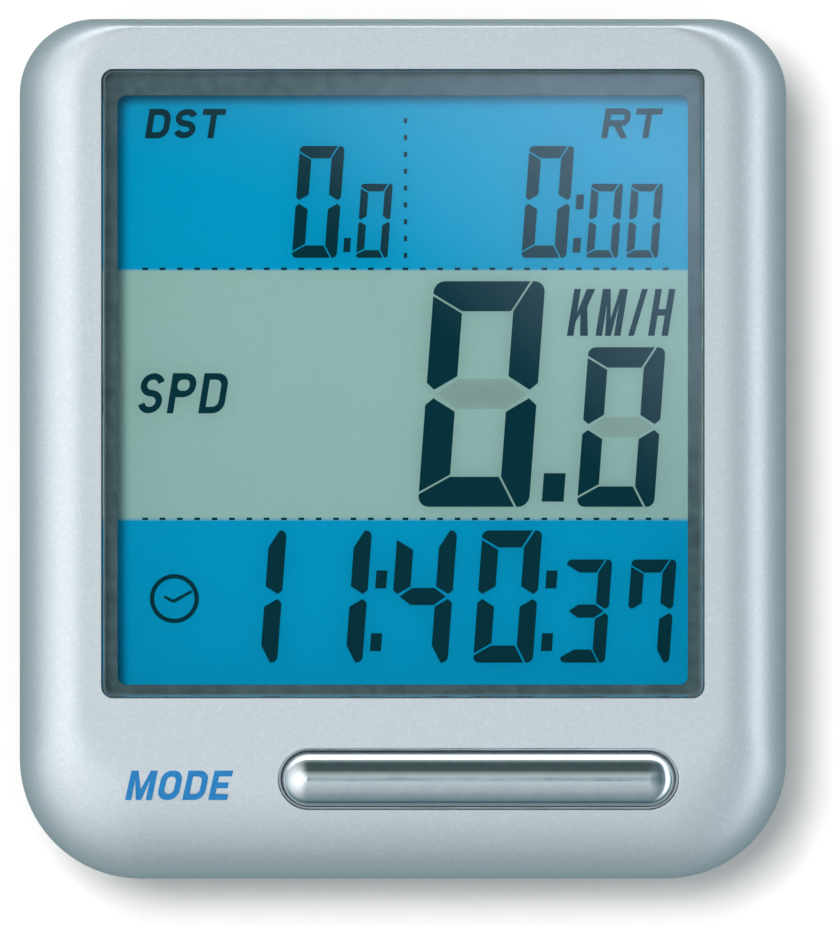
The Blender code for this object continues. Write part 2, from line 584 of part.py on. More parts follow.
def front_cover():
    """The swept front moulding, with the window opening, the button slot and four screw bosses."""
    rim = (case_outline(0.0), FRONT_BOTTOM)
    cover = part("front_cover", loft([rim] + shoulder_rings(0.0, SHOULDER_RISE)), SILVER_PAINT)
    inner_rim = (case_outline(WALL), FRONT_BOTTOM - OVERSHOOT)
    cut(cover, loft([inner_rim] + shoulder_rings(WALL, SHOULDER_RISE - ROOF)))

    pocket_start = SHOULDER_START - OVERSHOOT
    flange_pocket = rounded_rectangle(grow(FLANGE_BOX, POCKET_GAP), WINDOW_CORNER + WINDOW_FLANGE)
    cut(cover, plate([flange_pocket], pocket_start, POCKET_ROOF))
    bezel_pocket = rounded_rectangle(grow(BEZEL_BOX, POCKET_GAP), WINDOW_CORNER)
    cut(cover, plate([bezel_pocket], pocket_start - SEAT_GAP, BEZEL_TOP + SEAT_GAP))
    opening = rounded_rectangle(WINDOW_BOX, WINDOW_CORNER)
    cut(cover, plate([opening], SHOULDER_START, CROWN + OVERSHOOT))

    slot = stadium(BUTTON_SLOT_LENGTH, BUTTON_SLOT_WIDTH)
    cut(cover, plate([slot], SHOULDER_START, CROWN + OVERSHOOT), BUTTON_X, BUTTON_Y)
    reach = 2 * (BUTTON_FLANGE + POCKET_GAP)
    button_pocket = stadium(BUTTON_LENGTH + reach, BUTTON_WIDTH + reach)
    cut(cover, plate([button_pocket], pocket_start - STACK_GAP, POCKET_ROOF + STACK_GAP), BUTTON_X, BUTTON_Y)
    reach = 2 * (BUTTON_FLANGE + MEMBRANE_FLANGE + POCKET_GAP)
    membrane_pocket = stadium(BUTTON_LENGTH + reach, BUTTON_WIDTH + reach)
    cut(cover, plate([membrane_pocket], pocket_start - POCKET_GAP, MEMBRANE_TOP + SEAT_GAP), BUTTON_X, BUTTON_Y)

    boss_top = FRONT_BOSS_BOTTOM + FRONT_BOSS_LENGTH
    pilot_top = REAR_FACE + CASE_SCREW_RECESS + CASE_SCREW_LENGTH + 2 * HOLE_GAP
    for x, y in CASE_SCREW_PLACES:
        outwards = math.copysign(1.0, x)
        join(cover, cylinder(FRONT_BOSS_RADIUS, FRONT_BOSS_BOTTOM, boss_top), x, y)
        web_end = outwards * (HALF_WIDTH - WALL + WEB_ROOT) - x
        web = block(min(0.0, web_end), max(0.0, web_end), -FRONT_BOSS_WEB / 2, FRONT_BOSS_WEB / 2,
                    FRONT_BOTTOM + SEAL_HEIGHT, boss_top - HOLE_GAP)
        join(cover, web, x, y)
        pilot = cylinder(CASE_SCREW_RADIUS + HOLE_GAP, FRONT_BOSS_BOTTOM - OVERSHOOT, pilot_top)
        cut(cover, pilot, x, y)

    groove = [case_outline(SEAL_INSET - STACK_GAP), case_outline(SEAL_INSET + SEAL_WIDTH + STACK_GAP)]
    cut(cover, plate(groove, FRONT_BOTTOM - OVERSHOOT, PARTING + SEAL_HEIGHT + 3 * STACK_GAP))


def rear_cover():
    """The rear moulding: battery seat, screw posts, stud holes, bracket rails and latch recess."""
    rings = []
    steps = 4
    for step in range(steps + 1):
        angle = math.pi / 2 * step / steps
        inset = REAR_EDGE_ROUND * (1 - math.sin(angle))
        rings.append((case_outline(inset), REAR_FACE + REAR_EDGE_ROUND * (1 - math.cos(angle))))
    rings.append((case_outline(0.0), PARTING))
    cover = part("rear_cover", loft(rings), GREY_ABS)
    cut(cover, plate([case_outline(WALL)], REAR_FLOOR_TOP, PARTING + OVERSHOOT))

    root = REAR_FACE + REAR_FLOOR / 2
    for x, y in CASE_SCREW_PLACES:
        join(cover, cylinder(REAR_POST_RADIUS, root, POST_TOP, segments=24), x, y)
        cut(cover, cylinder(CASE_SCREW_RADIUS + HOLE_GAP, 0.0, PARTING), x, y)
        recess = cylinder(CASE_SCREW_HEAD_RADIUS + POCKET_GAP, 0.0, REAR_FACE + CASE_SCREW_RECESS)
        cut(cover, recess, x, y)

    join(cover, cylinder(RING_OUTSIDE, root, RING_TOP, segments=LARGE_ROUND), 0.0, BATTERY_Y)
    seat = [
        (0.0, PARTING),
        (RING_INSIDE, PARTING),
        (RING_INSIDE, LEDGE_TOP),
        (BORE_RADIUS, LEDGE_TOP),
        (BORE_RADIUS, LEDGE_BOTTOM),
        (COVER_RECESS_RADIUS, LEDGE_BOTTOM),
        (COVER_RECESS_RADIUS, 0.0),
        (0.0, 0.0),
    ]
    cut(cover, turned(seat), 0.0, BATTERY_Y)
    for lug in range(3):
        middle = 90 - COVER_TURN_DEGREES + 120 * lug
        notch = sector(BORE_RADIUS - POCKET_GAP, LUG_RADIUS + POCKET_GAP, middle, LUG_NOTCH_DEGREES)
        cut(cover, plate([notch], REAR_FACE, LEDGE_TOP + POCKET_GAP), 0.0, BATTERY_Y)

    for side in (-1, 1):
        x = side * STUD_SPACING / 2
        cut(cover, cylinder(STUD_SHANK_RADIUS + SEAT_GAP, 0.0, PARTING), x, STUD_Y)
        cut(cover, cylinder(STUD_HEAD_RADIUS + SEAT_GAP, 0.0, STUD_HEAD_TOP + STACK_GAP), x, STUD_Y)

    latch_y = -HALF_HEIGHT + LATCH_FROM_BOTTOM
    cut(cover, block(-LATCH_WIDTH / 2, LATCH_WIDTH / 2, latch_y, latch_y + LATCH_LENGTH,
                     0.0, REAR_FACE + LATCH_DEPTH))
    for side in (-1, 1):
        join(cover, rail(side))
        join(cover, end_stop(side))


def rail(side):
    """One bracket rail, an L in section, on the left (-1) or right (1)."""
    section = [
        (RAIL_INSIDE, 0.0),
        (RAIL_OUTSIDE, 0.0),
        (RAIL_OUTSIDE, REAR_FACE + RAIL_ROOT),
        (RAIL_WEB_INSIDE, REAR_FACE + RAIL_ROOT),
        (RAIL_WEB_INSIDE, RAIL_LIP_THICKNESS),
        (RAIL_INSIDE, RAIL_LIP_THICKNESS),
    ]
    mesh = side_profile([(side * x, z) for x, z in section], RAIL_HIGH_Y - RAIL_LOW_Y, 0.0)
    mesh.transform(Matrix.Translation((0.0, (RAIL_LOW_Y + RAIL_HIGH_Y) / 2, 0.0)))
    return mesh


def end_stop(side):
    """The block that closes a rail's groove at its upper end."""
    near, far = sorted((side * (RAIL_INSIDE + STACK_GAP), side * (RAIL_WEB_INSIDE + STACK_GAP)))
    high_y = RAIL_HIGH_Y - STACK_GAP
    return block(near, far, high_y - END_STOP, high_y, RAIL_LIP_THICKNESS / 2, REAR_FACE + RAIL_ROOT / 2)


def case_seal():
    """The rubber ring between the two covers."""
    ring = [case_outline(SEAL_INSET), case_outline(SEAL_INSET + SEAL_WIDTH)]
    bottom = PARTING + STACK_GAP
    part("case_seal", plate(ring, bottom, bottom + SEAL_HEIGHT), SEAL_RUBBER)


# ---------------------------------------------------------------- window and LCD


def display_window():
    """The clear window, flush with the cover, with a flange that the cover holds down."""
    plug = rounded_rectangle(grow(WINDOW_BOX, -WINDOW_GAP), WINDOW_CORNER - WINDOW_GAP)
    flange = rounded_rectangle(FLANGE_BOX, WINDOW_CORNER + WINDOW_FLANGE - POCKET_GAP)
    rings = [(flange, FLANGE_BOTTOM), (flange, FLANGE_TOP), (plug, FLANGE_TOP), (plug, WINDOW_TOP)]
    part("display_window", loft(rings), CLEAR_WINDOW)


def window_tape():
    """The adhesive ring between the window's flange and the cover."""
    outer = rounded_rectangle(grow(FLANGE_BOX, -SEAT_GAP), WINDOW_CORNER + WINDOW_FLANGE / 2)
    inner = rounded_rectangle(grow(WINDOW_BOX, SEAT_GAP), WINDOW_CORNER)
    part("window_tape", plate([outer, inner], TAPE_BOTTOM, TAPE_TOP), ADHESIVE_TAPE)


def notch_for_bosses(target, bottom, top):
    """Clear the front cover's four screw bosses."""
    for x, y in CASE_SCREW_PLACES:
        notch = cylinder(FRONT_BOSS_RADIUS + 2 * SIDE_GAP, bottom - OVERSHOOT, top + OVERSHOOT)
        cut(target, notch, x, y)


def lcd_bezel():
    """The dark frame that steps down from the window to the LCD."""
    outer = rounded_rectangle(BEZEL_BOX, WINDOW_CORNER - POCKET_GAP)
    inner = rounded_rectangle(VIEW_BOX, WINDOW_CORNER - POCKET_GAP)
    bezel = part("lcd_bezel", plate([outer, inner], BEZEL_BOTTOM, BEZEL_TOP), BEZEL_PLASTIC)
    notch_for_bosses(bezel, BEZEL_BOTTOM, BEZEL_TOP)


def lcd_sheets():
    """The flat sheets of the LCD, from the polariser down to the reflector."""
    sheets = [
        ("front_polariser", POLARISER_BOX, POLARISER_BOTTOM, POLARISER_TOP, POLARISER_FILM),
        ("lcd_front_glass", FRONT_GLASS_BOX, FRONT_GLASS_BOTTOM, FRONT_GLASS_TOP, LCD_GLASS),
        ("lcd_rear_glass", REAR_GLASS_BOX, REAR_GLASS_BOTTOM, REAR_GLASS_TOP, LCD_GLASS),
        ("colour_filter_film", FILM_BOX, COLOUR_BOTTOM, COLOUR_TOP, COLOUR_FILM),
        ("reflector_film", FILM_BOX, REFLECTOR_BOTTOM, REFLECTOR_TOP, REFLECTOR_FILM),
    ]
    for name, box, bottom, top, finish in sheets:
        left, right, low_y, high_y = box
        part(name, block(left, right, low_y, high_y, bottom, top), finish)


def zebra_box():
    """The box (left, right, bottom, top) of the zebra strip, under the front glass's ledge."""
    middle = (RECESS_BOX[2] + REAR_GLASS_BOX[2]) / 2
    half_length = FRONT_GLASS_BOX[1] - ZEBRA_SHORTER
    return (-half_length, half_length, middle - ZEBRA_WIDTH / 2, middle + ZEBRA_WIDTH / 2)


def lcd_tray():
    """The moulded tray that carries the LCD above the board."""
    outline = rounded_rectangle(TRAY_BOX, WINDOW_CORNER - POCKET_GAP)
    tray = part("lcd_tray", plate([outline], TRAY_BOTTOM, TRAY_TOP), TRAY_PLASTIC)
    cut(tray, block(*RECESS_BOX, TRAY_FLOOR_TOP, TRAY_TOP + OVERSHOOT))
    cut(tray, block(*grow(zebra_box(), SEAT_GAP), TRAY_BOTTOM - OVERSHOOT, TRAY_FLOOR_TOP + OVERSHOOT))
    notch_for_bosses(tray, TRAY_BOTTOM, TRAY_TOP)
    pilot_top = BOARD_BOTTOM - STACK_GAP + BOARD_SCREW_LENGTH + HOLE_GAP
    for x, y in BOARD_SCREW_PLACES:
        cut(tray, cylinder(BOARD_SCREW_RADIUS + HOLE_GAP, TRAY_BOTTOM - OVERSHOOT, pilot_top), x, y)


def zebra_strip():
    """The rubber strip that joins the front glass's contacts to the board."""
    strip = block(*zebra_box(), BOARD_TOP + STACK_GAP, FRONT_GLASS_BOTTOM - STACK_GAP)
    part("zebra_strip", strip, ZEBRA_RUBBER)


# ---------------------------------------------------------------- circuit board


def circuit_board():
    """The board, notched for the bosses and drilled for its screws."""
    outline = rounded_rectangle(BOARD_BOX, BOARD_CORNER_TOP, BOARD_CORNER_BOTTOM)
    board = part("circuit_board", plate([outline], BOARD_BOTTOM, BOARD_TOP), BOARD_LAMINATE)
    notch_for_bosses(board, BOARD_BOTTOM, BOARD_TOP)
    for x, y in BOARD_SCREW_PLACES:
        hole = cylinder(BOARD_SCREW_RADIUS + HOLE_GAP, BOARD_BOTTOM - OVERSHOOT, BOARD_TOP + OVERSHOOT)
        cut(board, hole, x, y)


def board_components():
    """The chip under its epoxy, the quartz crystal and two chip capacitors, under the board."""
    top = BOARD_BOTTOM - STACK_GAP
    blob = []
    steps = 5
    for step in range(steps + 1):
        angle = math.pi / 2 * step / steps
        blob.append((CHIP_RADIUS * math.cos(angle), top - CHIP_HEIGHT * math.sin(angle)))
    chip_y = -HALF_HEIGHT + CHIP_FROM_BOTTOM
    part("controller_chip", turned([(0.0, top)] + blob, 24), CHIP_EPOXY, -COMPONENT_FROM_CENTRE, chip_y)

    can = cylinder(CRYSTAL_RADIUS, -CRYSTAL_LENGTH / 2, CRYSTAL_LENGTH / 2)
    lie_down = Matrix.Rotation(math.pi / 2, 4, "Y")
    can.transform(Matrix.Translation((0.0, 0.0, top - CRYSTAL_RADIUS)) @ lie_down)
    part("quartz_crystal", can, CRYSTAL_CAN, COMPONENT_FROM_CENTRE, -HALF_HEIGHT + CRYSTAL_FROM_BOTTOM)

    for index in range(2):
        chip = block(-CAPACITOR_LENGTH / 2, CAPACITOR_LENGTH / 2, -CAPACITOR_WIDTH / 2,
                     CAPACITOR_WIDTH / 2, top - CAPACITOR_WIDTH, top)
        x = COMPONENT_FROM_CENTRE + CAPACITOR_PITCH * (index - 0.2)
        part(f"chip_capacitor_{index + 1}", chip, CAPACITOR_CERAMIC, x, -HALF_HEIGHT + CAPACITOR_FROM_BOTTOM)


def screw(name, shank_radius, head_radius, head_depth, length, head_top, place):
    """A screw driven up from below, with a cross slot in its head."""
    tip = shank_radius / 2
    profile = [
        (0.0, head_top + length),
        (shank_radius - tip, head_top + length),
        (shank_radius, head_top + length - tip),
        (shank_radius, head_top),
        (head_radius, head_top),
        (head_radius, head_top - head_depth * 0.6),
        (head_radius * 0.75, head_top - head_depth),
        (0.0, head_top - head_depth),
    ]
    made = part(name, turned(profile, SMALL_ROUND), SCREW_STEEL, *place)
    half = head_radius * 0.6
    low = head_top - head_depth - OVERSHOOT
    high = head_top - head_depth + CROSS_SLOT_DEPTH
    cut(made, block(-half, half, -CROSS_SLOT_WIDTH / 2, CROSS_SLOT_WIDTH / 2, low, high), *place)
    cut(made, block(-CROSS_SLOT_WIDTH / 2, CROSS_SLOT_WIDTH / 2, -half, half, low, high), *place)


def screws():
    """Four case screws and four board screws."""
    for index, place in enumerate(CASE_SCREW_PLACES):
        screw(f"case_screw_{index + 1}", CASE_SCREW_RADIUS, CASE_SCREW_HEAD_RADIUS, CASE_SCREW_HEAD_DEPTH,
              CASE_SCREW_LENGTH, REAR_FACE + CASE_SCREW_RECESS - STACK_GAP, place)
    for index, place in enumerate(BOARD_SCREW_PLACES):
        screw(f"board_screw_{index + 1}", BOARD_SCREW_RADIUS, BOARD_SCREW_HEAD_RADIUS,
              BOARD_SCREW_HEAD_DEPTH, BOARD_SCREW_LENGTH, BOARD_BOTTOM - STACK_GAP, place)


# ---------------------------------------------------------------- mode button


def mode_button():
    """The chrome bar: a flange inside, a straight shank and a crowned top."""
    reach = 2 * BUTTON_FLANGE
    flange = stadium(BUTTON_LENGTH + reach, BUTTON_WIDTH + reach)
    shank = stadium(BUTTON_LENGTH, BUTTON_WIDTH)
    rings = [(flange, BUTTON_FLANGE_BOTTOM), (flange, BUTTON_FLANGE_TOP), (shank, BUTTON_FLANGE_TOP)]
    steps = 5
    for step in range(steps + 1):
        angle = math.radians(78 * step / steps)
        drawn_in = BUTTON_WIDTH * (1 - math.cos(angle))
        height = BUTTON_TOP - BUTTON_CROWN + BUTTON_CROWN * math.sin(angle) / math.sin(math.radians(78))
        rings.append((stadium(BUTTON_LENGTH - drawn_in, BUTTON_WIDTH - drawn_in), height))
    part("mode_button", loft(rings), CHROME, BUTTON_X, BUTTON_Y)


def button_membrane():
    """The silicone membrane under the bar, with a pad above and a plunger below."""
    reach = 2 * (BUTTON_FLANGE + MEMBRANE_FLANGE)
    flange = stadium(BUTTON_LENGTH + reach, BUTTON_WIDTH + reach)
    pad = stadium(MEMBRANE_PAD_LENGTH, MEMBRANE_PAD_WIDTH)
    plunger = stadium(2.001 * PLUNGER_RADIUS, 2 * PLUNGER_RADIUS)
    rings = [
        (plunger, DOME_TOP + SIDE_GAP),
        (plunger, MEMBRANE_BOTTOM),
        (flange, MEMBRANE_BOTTOM),
        (flange, MEMBRANE_TOP),
        (pad, MEMBRANE_TOP),
        (pad, BUTTON_FLANGE_BOTTOM - SEAT_GAP),
    ]
    part("button_membrane", loft(rings), MEMBRANE_SILICONE, BUTTON_X, BUTTON_Y)


def switch_dome():
    """The snap dome on the board under the plunger."""
    steps = 4
    crown = []
    for step in range(steps + 1):
        angle = math.pi / 2 * (1 - step / steps)
        crown.append((DOME_RADIUS * math.cos(angle), DOME_BOTTOM + DOME_HEIGHT * math.sin(angle)))
    crown[0] = (0.0, DOME_TOP)
    part("switch_dome", turned(crown + [(0.0, DOME_BOTTOM)], 24), DOME_STEEL, BUTTON_X, BUTTON_Y)


# ---------------------------------------------------------------- battery and its cover


def battery():
    """The coin cell, its can down and its smaller cap up."""
    bevel = 0.2 * MM
    cap_height = 0.3 * MM
    profile = [
        (0.0, BATTERY_TOP),
        (BATTERY_RADIUS - BATTERY_LIP, BATTERY_TOP),
        (BATTERY_RADIUS - BATTERY_LIP, BATTERY_TOP - cap_height),
        (BATTERY_RADIUS - bevel, BATTERY_TOP - cap_height),
        (BATTERY_RADIUS, BATTERY_TOP - cap_height - bevel),
        (BATTERY_RADIUS, BATTERY_BOTTOM + bevel),
        (BATTERY_RADIUS - bevel, BATTERY_BOTTOM),
        (0.0, BATTERY_BOTTOM),
    ]
    part("battery", turned(profile), CELL_STEEL, 0.0, BATTERY_Y)


def battery_contacts():
    """Two sprung leaves under the board, one on the cell's cap and one on its side."""
    top = BOARD_BOTTOM - STACK_GAP
    low = BATTERY_TOP + SEAT_GAP
    path = [
        (-LEAF_FOOT_FAR, top - LEAF_THICKNESS),
        (-LEAF_FOOT_NEAR, top - LEAF_THICKNESS),
        (-LEAF_REST, low),
        (LEAF_REST, low),
        (LEAF_TIP, low + LEAF_THICKNESS),
    ]
    outline = path + [(along, up + LEAF_THICKNESS) for along, up in reversed(path)]
    negative = side_profile(outline, LEAF_WIDTH, math.pi / 2)
    part("battery_contact_negative", negative, CONTACT_STEEL, 0.0, BATTERY_Y)

    near = BATTERY_RADIUS + SEAT_GAP
    far = RING_INSIDE - LEAF_FROM_RING
    bottom = LUG_TOP + STACK_GAP + POCKET_GAP
    outline = [
        (near, bottom),
        (near + LEAF_THICKNESS, bottom),
        (near + LEAF_THICKNESS, top - LEAF_THICKNESS),
        (far, top - LEAF_THICKNESS),
        (far, top),
        (near, top),
    ]
    positive = side_profile(outline, LEAF_WIDTH, 0.0)
    part("battery_contact_positive", positive, CONTACT_STEEL, 0.0, BATTERY_Y)


def battery_cover():
    """The quarter-turn cover: three lugs inside and a coin slot outside."""
    bevel = 0.25 * MM
    wall_top = LUG_TOP + STACK_GAP
    profile = [
        (0.0, COVER_PLATE_TOP),
        (COVER_WALL_INSIDE, COVER_PLATE_TOP),
        (COVER_WALL_INSIDE, wall_top),
        (COVER_WALL_OUTSIDE, wall_top),
        (COVER_WALL_OUTSIDE, COVER_FLANGE_TOP),
        (COVER_RADIUS, COVER_FLANGE_TOP),
        (COVER_RADIUS, COVER_FACE + bevel),
        (COVER_RADIUS - bevel, COVER_FACE),
        (0.0, COVER_FACE),
    ]
    cover = part("battery_cover", turned(profile), COVER_ABS, 0.0, BATTERY_Y)
    for lug in range(3):
        shape = sector(COVER_WALL_INSIDE + COVER_WALL / 2, LUG_RADIUS, 90 + 120 * lug, LUG_DEGREES)
        join(cover, plate([shape], LUG_BOTTOM, LUG_TOP), 0.0, BATTERY_Y)
    slot = plate([stadium(COIN_SLOT_LENGTH, COIN_SLOT_WIDTH)], 0.0, COVER_FACE + COIN_SLOT_DEPTH)
    cut(cover, slot, 0.0, BATTERY_Y)


def battery_cover_seal():
    """The O-ring between the battery cover's flange and the rear cover's ledge."""
    centre = (BORE_RADIUS + COVER_RADIUS) / 2
    height = COVER_FLANGE_TOP + STACK_GAP + O_RING_RADIUS
    sides = 10
    profile = []
    for side in range(sides + 1):
        angle = math.pi / 2 - 2 * math.pi * side / sides
        profile.append((centre + O_RING_RADIUS * math.cos(angle), height + O_RING_RADIUS * math.sin(angle)))
    part("battery_cover_seal", turned(profile), SEAL_RUBBER, 0.0, BATTERY_Y)


# ---------------------------------------------------------------- contacts towards the bracket


def contact_stud(name, x):
    """A plated stud that shows on the back and meets the bracket's contact."""
    rim = 0.2 * MM
    profile = [
        (0.0, STUD_TOP),
        (STUD_SHANK_RADIUS, STUD_TOP),
        (STUD_SHANK_RADIUS, STUD_HEAD_TOP),
        (STUD_HEAD_RADIUS, STUD_HEAD_TOP),
        (STUD_HEAD_RADIUS, STUD_HEAD_BOTTOM + rim),
        (STUD_HEAD_RADIUS - rim, STUD_HEAD_BOTTOM),
        (0.0, STUD_HEAD_BOTTOM),
    ]
    part(name, turned(profile, 24), STUD_GOLD, x, STUD_Y)


def contact_spring(name, x):
    """The coil spring between a stud and the board."""
    bottom = STUD_TOP + SEAT_GAP + SPRING_WIRE
    top = BOARD_BOTTOM - SEAT_GAP - SPRING_WIRE
    points = 12 * SPRING_TURNS
    curve = bpy.data.curves.new(name, "CURVE")
    curve.dimensions = "3D"
    curve.bevel_depth = SPRING_WIRE
    curve.bevel_resolution = 2
    curve.use_fill_caps = True
    spline = curve.splines.new("POLY")
    spline.points.add(points)
    for index, point in enumerate(spline.points):
        angle = 2 * math.pi * SPRING_TURNS * index / points
        height = bottom + (top - bottom) * index / points
        point.co = (SPRING_RADIUS * math.cos(angle), SPRING_RADIUS * math.sin(angle), height, 1.0)
    part(name, mesh_of(bpy.data.objects.new(name, curve)), CONTACT_STEEL, x, STUD_Y)


def bracket_contacts():
    """A stud and its spring on each side."""
    for side, sign in (("left", -1), ("right", 1)):
        contact_stud(f"contact_stud_{side}", sign * STUD_SPACING / 2)
        contact_spring(f"contact_spring_{side}", sign * STUD_SPACING / 2)


front_cover()
rear_cover()
case_seal()
display_window()
window_tape()
lcd_bezel()
lcd_sheets()
lcd_tray()
zebra_strip()
circuit_board()
board_components()
screws()
mode_button()
button_membrane()
switch_dome()
battery()
battery_contacts()
battery_cover()
battery_cover_seal()
bracket_contacts()
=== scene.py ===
# %% [markdown]
# # A cycling computer, lying on its back
# The unit is a small moulded box with a clear window, a liquid crystal display behind it and one
# chrome bar key. A frame of plain solids already says where every part is. This lesson makes the
# surfaces that the eye sees: metallic paint, acrylic, LCD glass, printed film, chrome and moulded ABS.
# Everything is in metres in the frame's own coordinates, so a piece is built where it belongs.

# %% Load the frame
import math

import bmesh
import bpy
from mathutils import Matrix, Vector


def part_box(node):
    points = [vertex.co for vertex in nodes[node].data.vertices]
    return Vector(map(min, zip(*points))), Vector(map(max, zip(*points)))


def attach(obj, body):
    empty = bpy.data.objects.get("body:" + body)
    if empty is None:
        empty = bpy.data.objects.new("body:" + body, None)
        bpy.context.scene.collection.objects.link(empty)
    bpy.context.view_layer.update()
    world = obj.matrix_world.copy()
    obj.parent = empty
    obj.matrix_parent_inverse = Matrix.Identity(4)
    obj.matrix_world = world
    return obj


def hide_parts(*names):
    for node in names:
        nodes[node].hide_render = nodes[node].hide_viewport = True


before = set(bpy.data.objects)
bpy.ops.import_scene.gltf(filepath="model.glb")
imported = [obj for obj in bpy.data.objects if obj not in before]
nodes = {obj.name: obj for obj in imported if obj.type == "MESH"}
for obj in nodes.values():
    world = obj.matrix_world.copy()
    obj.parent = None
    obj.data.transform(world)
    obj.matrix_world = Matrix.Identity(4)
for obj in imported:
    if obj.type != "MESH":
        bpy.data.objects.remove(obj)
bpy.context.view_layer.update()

MM = 0.001
print("frame has", len(nodes), "nodes")


# %% [markdown]
# ## Colour and node tools
# Each material is a tree of nodes. One function adds a node, sets its properties and values and
# links its inputs, so that a material reads as a list of what feeds what. Colours are written as
# the hex values that a paint chart or a screen would give, and one function turns them to linear.

# %% Colour and node tools
def linear(code):
    """A linear RGBA colour from an sRGB hex code such as 8FA3B0."""
    channels = [int(code[start:start + 2], 16) / 255 for start in (0, 2, 4)]
    return tuple(c / 12.92 if c <= 0.04045 else ((c + 0.055) / 1.055) ** 2.4 for c in channels) + (1.0,)


def add(tree, kind, values=None, links=None, stops=None, **settings):
    """Add a node: its settings, a ramp's stops, its inputs' values and the sockets that feed them."""
    node = tree.nodes.new(kind)
    for name, value in settings.items():
        setattr(node, name, value)
    if stops:
        elements = node.color_ramp.elements
        while len(elements) < len(stops):
            elements.new(0.5)
        for element, (position, colour) in zip(elements, stops):
            element.position, element.color = position, colour
    for key, value in (values or {}).items():
        node.inputs[key].default_value = value
    for key, socket in (links or {}).items():
        tree.links.new(socket, node.inputs[key])
    return node


def noise(tree, place, size, detail, **values):
    """The factor of a noise texture whose blotches have this size."""
    return add(tree, "ShaderNodeTexNoise", {"Scale": 1 / size, "Detail": detail, **values},
               {"Vector": place}).outputs["Fac"]


def tones(tree, factor, *stops):
    """The colour of a ramp whose stops are (position, hex code)."""
    return add(tree, "ShaderNodeValToRGB", links={"Fac": factor},
               stops=[(position, linear(code)) for position, code in stops]).outputs["Color"]


def between(tree, factor, low, high):
    """A factor stretched to run from a low to a high value."""
    return add(tree, "ShaderNodeMapRange", {"To Min": low, "To Max": high}, {"Value": factor}).outputs[0]


def share_of(tree, value, start, end):
    """How far a value has come from start to end."""
    return add(tree, "ShaderNodeMapRange", {"From Min": start, "From Max": end}, {"Value": value}).outputs[0]


def bump(tree, height, depth, **values):
    """The normal of a surface with this relief."""
    return add(tree, "ShaderNodeBump", {"Distance": depth, **values}, {"Height": height}).outputs["Normal"]


def calculate(tree, operation, *terms):
    """The result of a Math node whose terms are numbers or sockets."""
    values = {place: term for place, term in enumerate(terms) if isinstance(term, float)}
    links = {place: term for place, term in enumerate(terms) if place not in values}
    return add(tree, "ShaderNodeMath", values, links, operation=operation).outputs[0]


def start_finish(name):
    """A new material with an empty tree. Returns it, its tree and the Object coordinates."""
    made = bpy.data.materials.new(name)
    made.use_nodes = True
    made.node_tree.nodes.clear()
    return made, made.node_tree, add(made.node_tree, "ShaderNodeTexCoord").outputs["Object"]


def end_finish(tree, values, links):
    """Close a material's tree with one Principled shader; a value's name may have underscores."""
    named = {key.replace("_", " "): value for key, value in values.items()}
    shader = add(tree, "ShaderNodeBsdfPrincipled", named, links)
    add(tree, "ShaderNodeOutputMaterial", links={"Surface": shader.outputs["BSDF"]})


def textured_finish(name, light, dark, blotch, pit, pit_depth, roughness, **shader):
    """A finish that varies between two colours over a blotch size, with pits of their own size and depth."""
    made, tree, place = start_finish(name)
    colour = tones(tree, noise(tree, place, blotch, 3.0), (0.3, dark), (0.7, light))
    pits = noise(tree, place, pit, 2.0)
    shine = between(tree, pits, roughness * 0.88, roughness * 1.12)
    relief = bump(tree, pits, pit_depth)
    end_finish(tree, shader, {"Base Color": colour, "Roughness": shine, "Normal": relief})
    return made


def thin_finish(name, dark, light, blotch, detail, **shader):
    """A thin layer that varies a little between two colours."""
    made, tree, place = start_finish(name)
    colour = tones(tree, noise(tree, place, blotch, detail), (0.2, dark), (0.8, light))
    end_finish(tree, shader, {"Base Color": colour})
    return made


# %% [markdown]
# ## Shape tools
# An outline is a list of points, with its round stretches worked out as arcs. A slab gives an
# outline a thickness, a loft joins outlines at different heights, and a turned shape spins a
# profile. A piece is finished by cutting it, by rounding its edges with Bevel, and by Weighted
# Normal, which keeps the flat faces flat under smooth shading.

# %% Outlines
def grow(box, side, bottom=None, top=None):
    """A box (left, right, bottom, top) grown outwards, by one amount or by three."""
    bottom = side if bottom is None else bottom
    top = side if top is None else top
    return (box[0] - side, box[1] + side, box[2] - bottom, box[3] + top)


def arc(x, y, radius, start, sweep, steps):
    """Points along an arc about a centre, anticlockwise, its angles in degrees."""
    angles = [math.radians(start + sweep * step / steps) for step in range(steps + 1)]
    return [(x + radius * math.cos(a), y + radius * math.sin(a)) for a in angles]


def rounded_rectangle(box, corner_top, corner_bottom=None, steps=12):
    """Points round a box with rounded corners, anticlockwise."""
    corner_bottom = corner_top if corner_bottom is None else corner_bottom
    left, right, bottom, top = box
    corners = [
        (right - corner_bottom, bottom + corner_bottom, corner_bottom, 270),
        (right - corner_top, top - corner_top, corner_top, 0),
        (left + corner_top, top - corner_top, corner_top, 90),
        (left + corner_bottom, bottom + corner_bottom, corner_bottom, 180),
    ]
    return [point for corner in corners for point in arc(*corner, 90, steps)]


def stadium(length, width, centre=(0.0, 0.0), steps=16):
    """Points round a bar with half-round ends, anticlockwise."""
    reach = (length - width) / 2
    return [point for side, start in ((1, -90), (-1, 90))
            for point in arc(centre[0] + side * reach, centre[1], width / 2, start, 180, 2 * steps)]


def quarter_turn(steps):
    """Angles from zero to a right angle in even steps."""
    return [math.pi / 2 * step / steps for step in range(steps + 1)]


def circle(radius, centre=(0.0, 0.0), steps=64):
    """Points round a circle, anticlockwise."""
    angles = [2 * math.pi * step / steps for step in range(steps)]
    return [(centre[0] + radius * math.cos(a), centre[1] + radius * math.sin(a)) for a in angles]


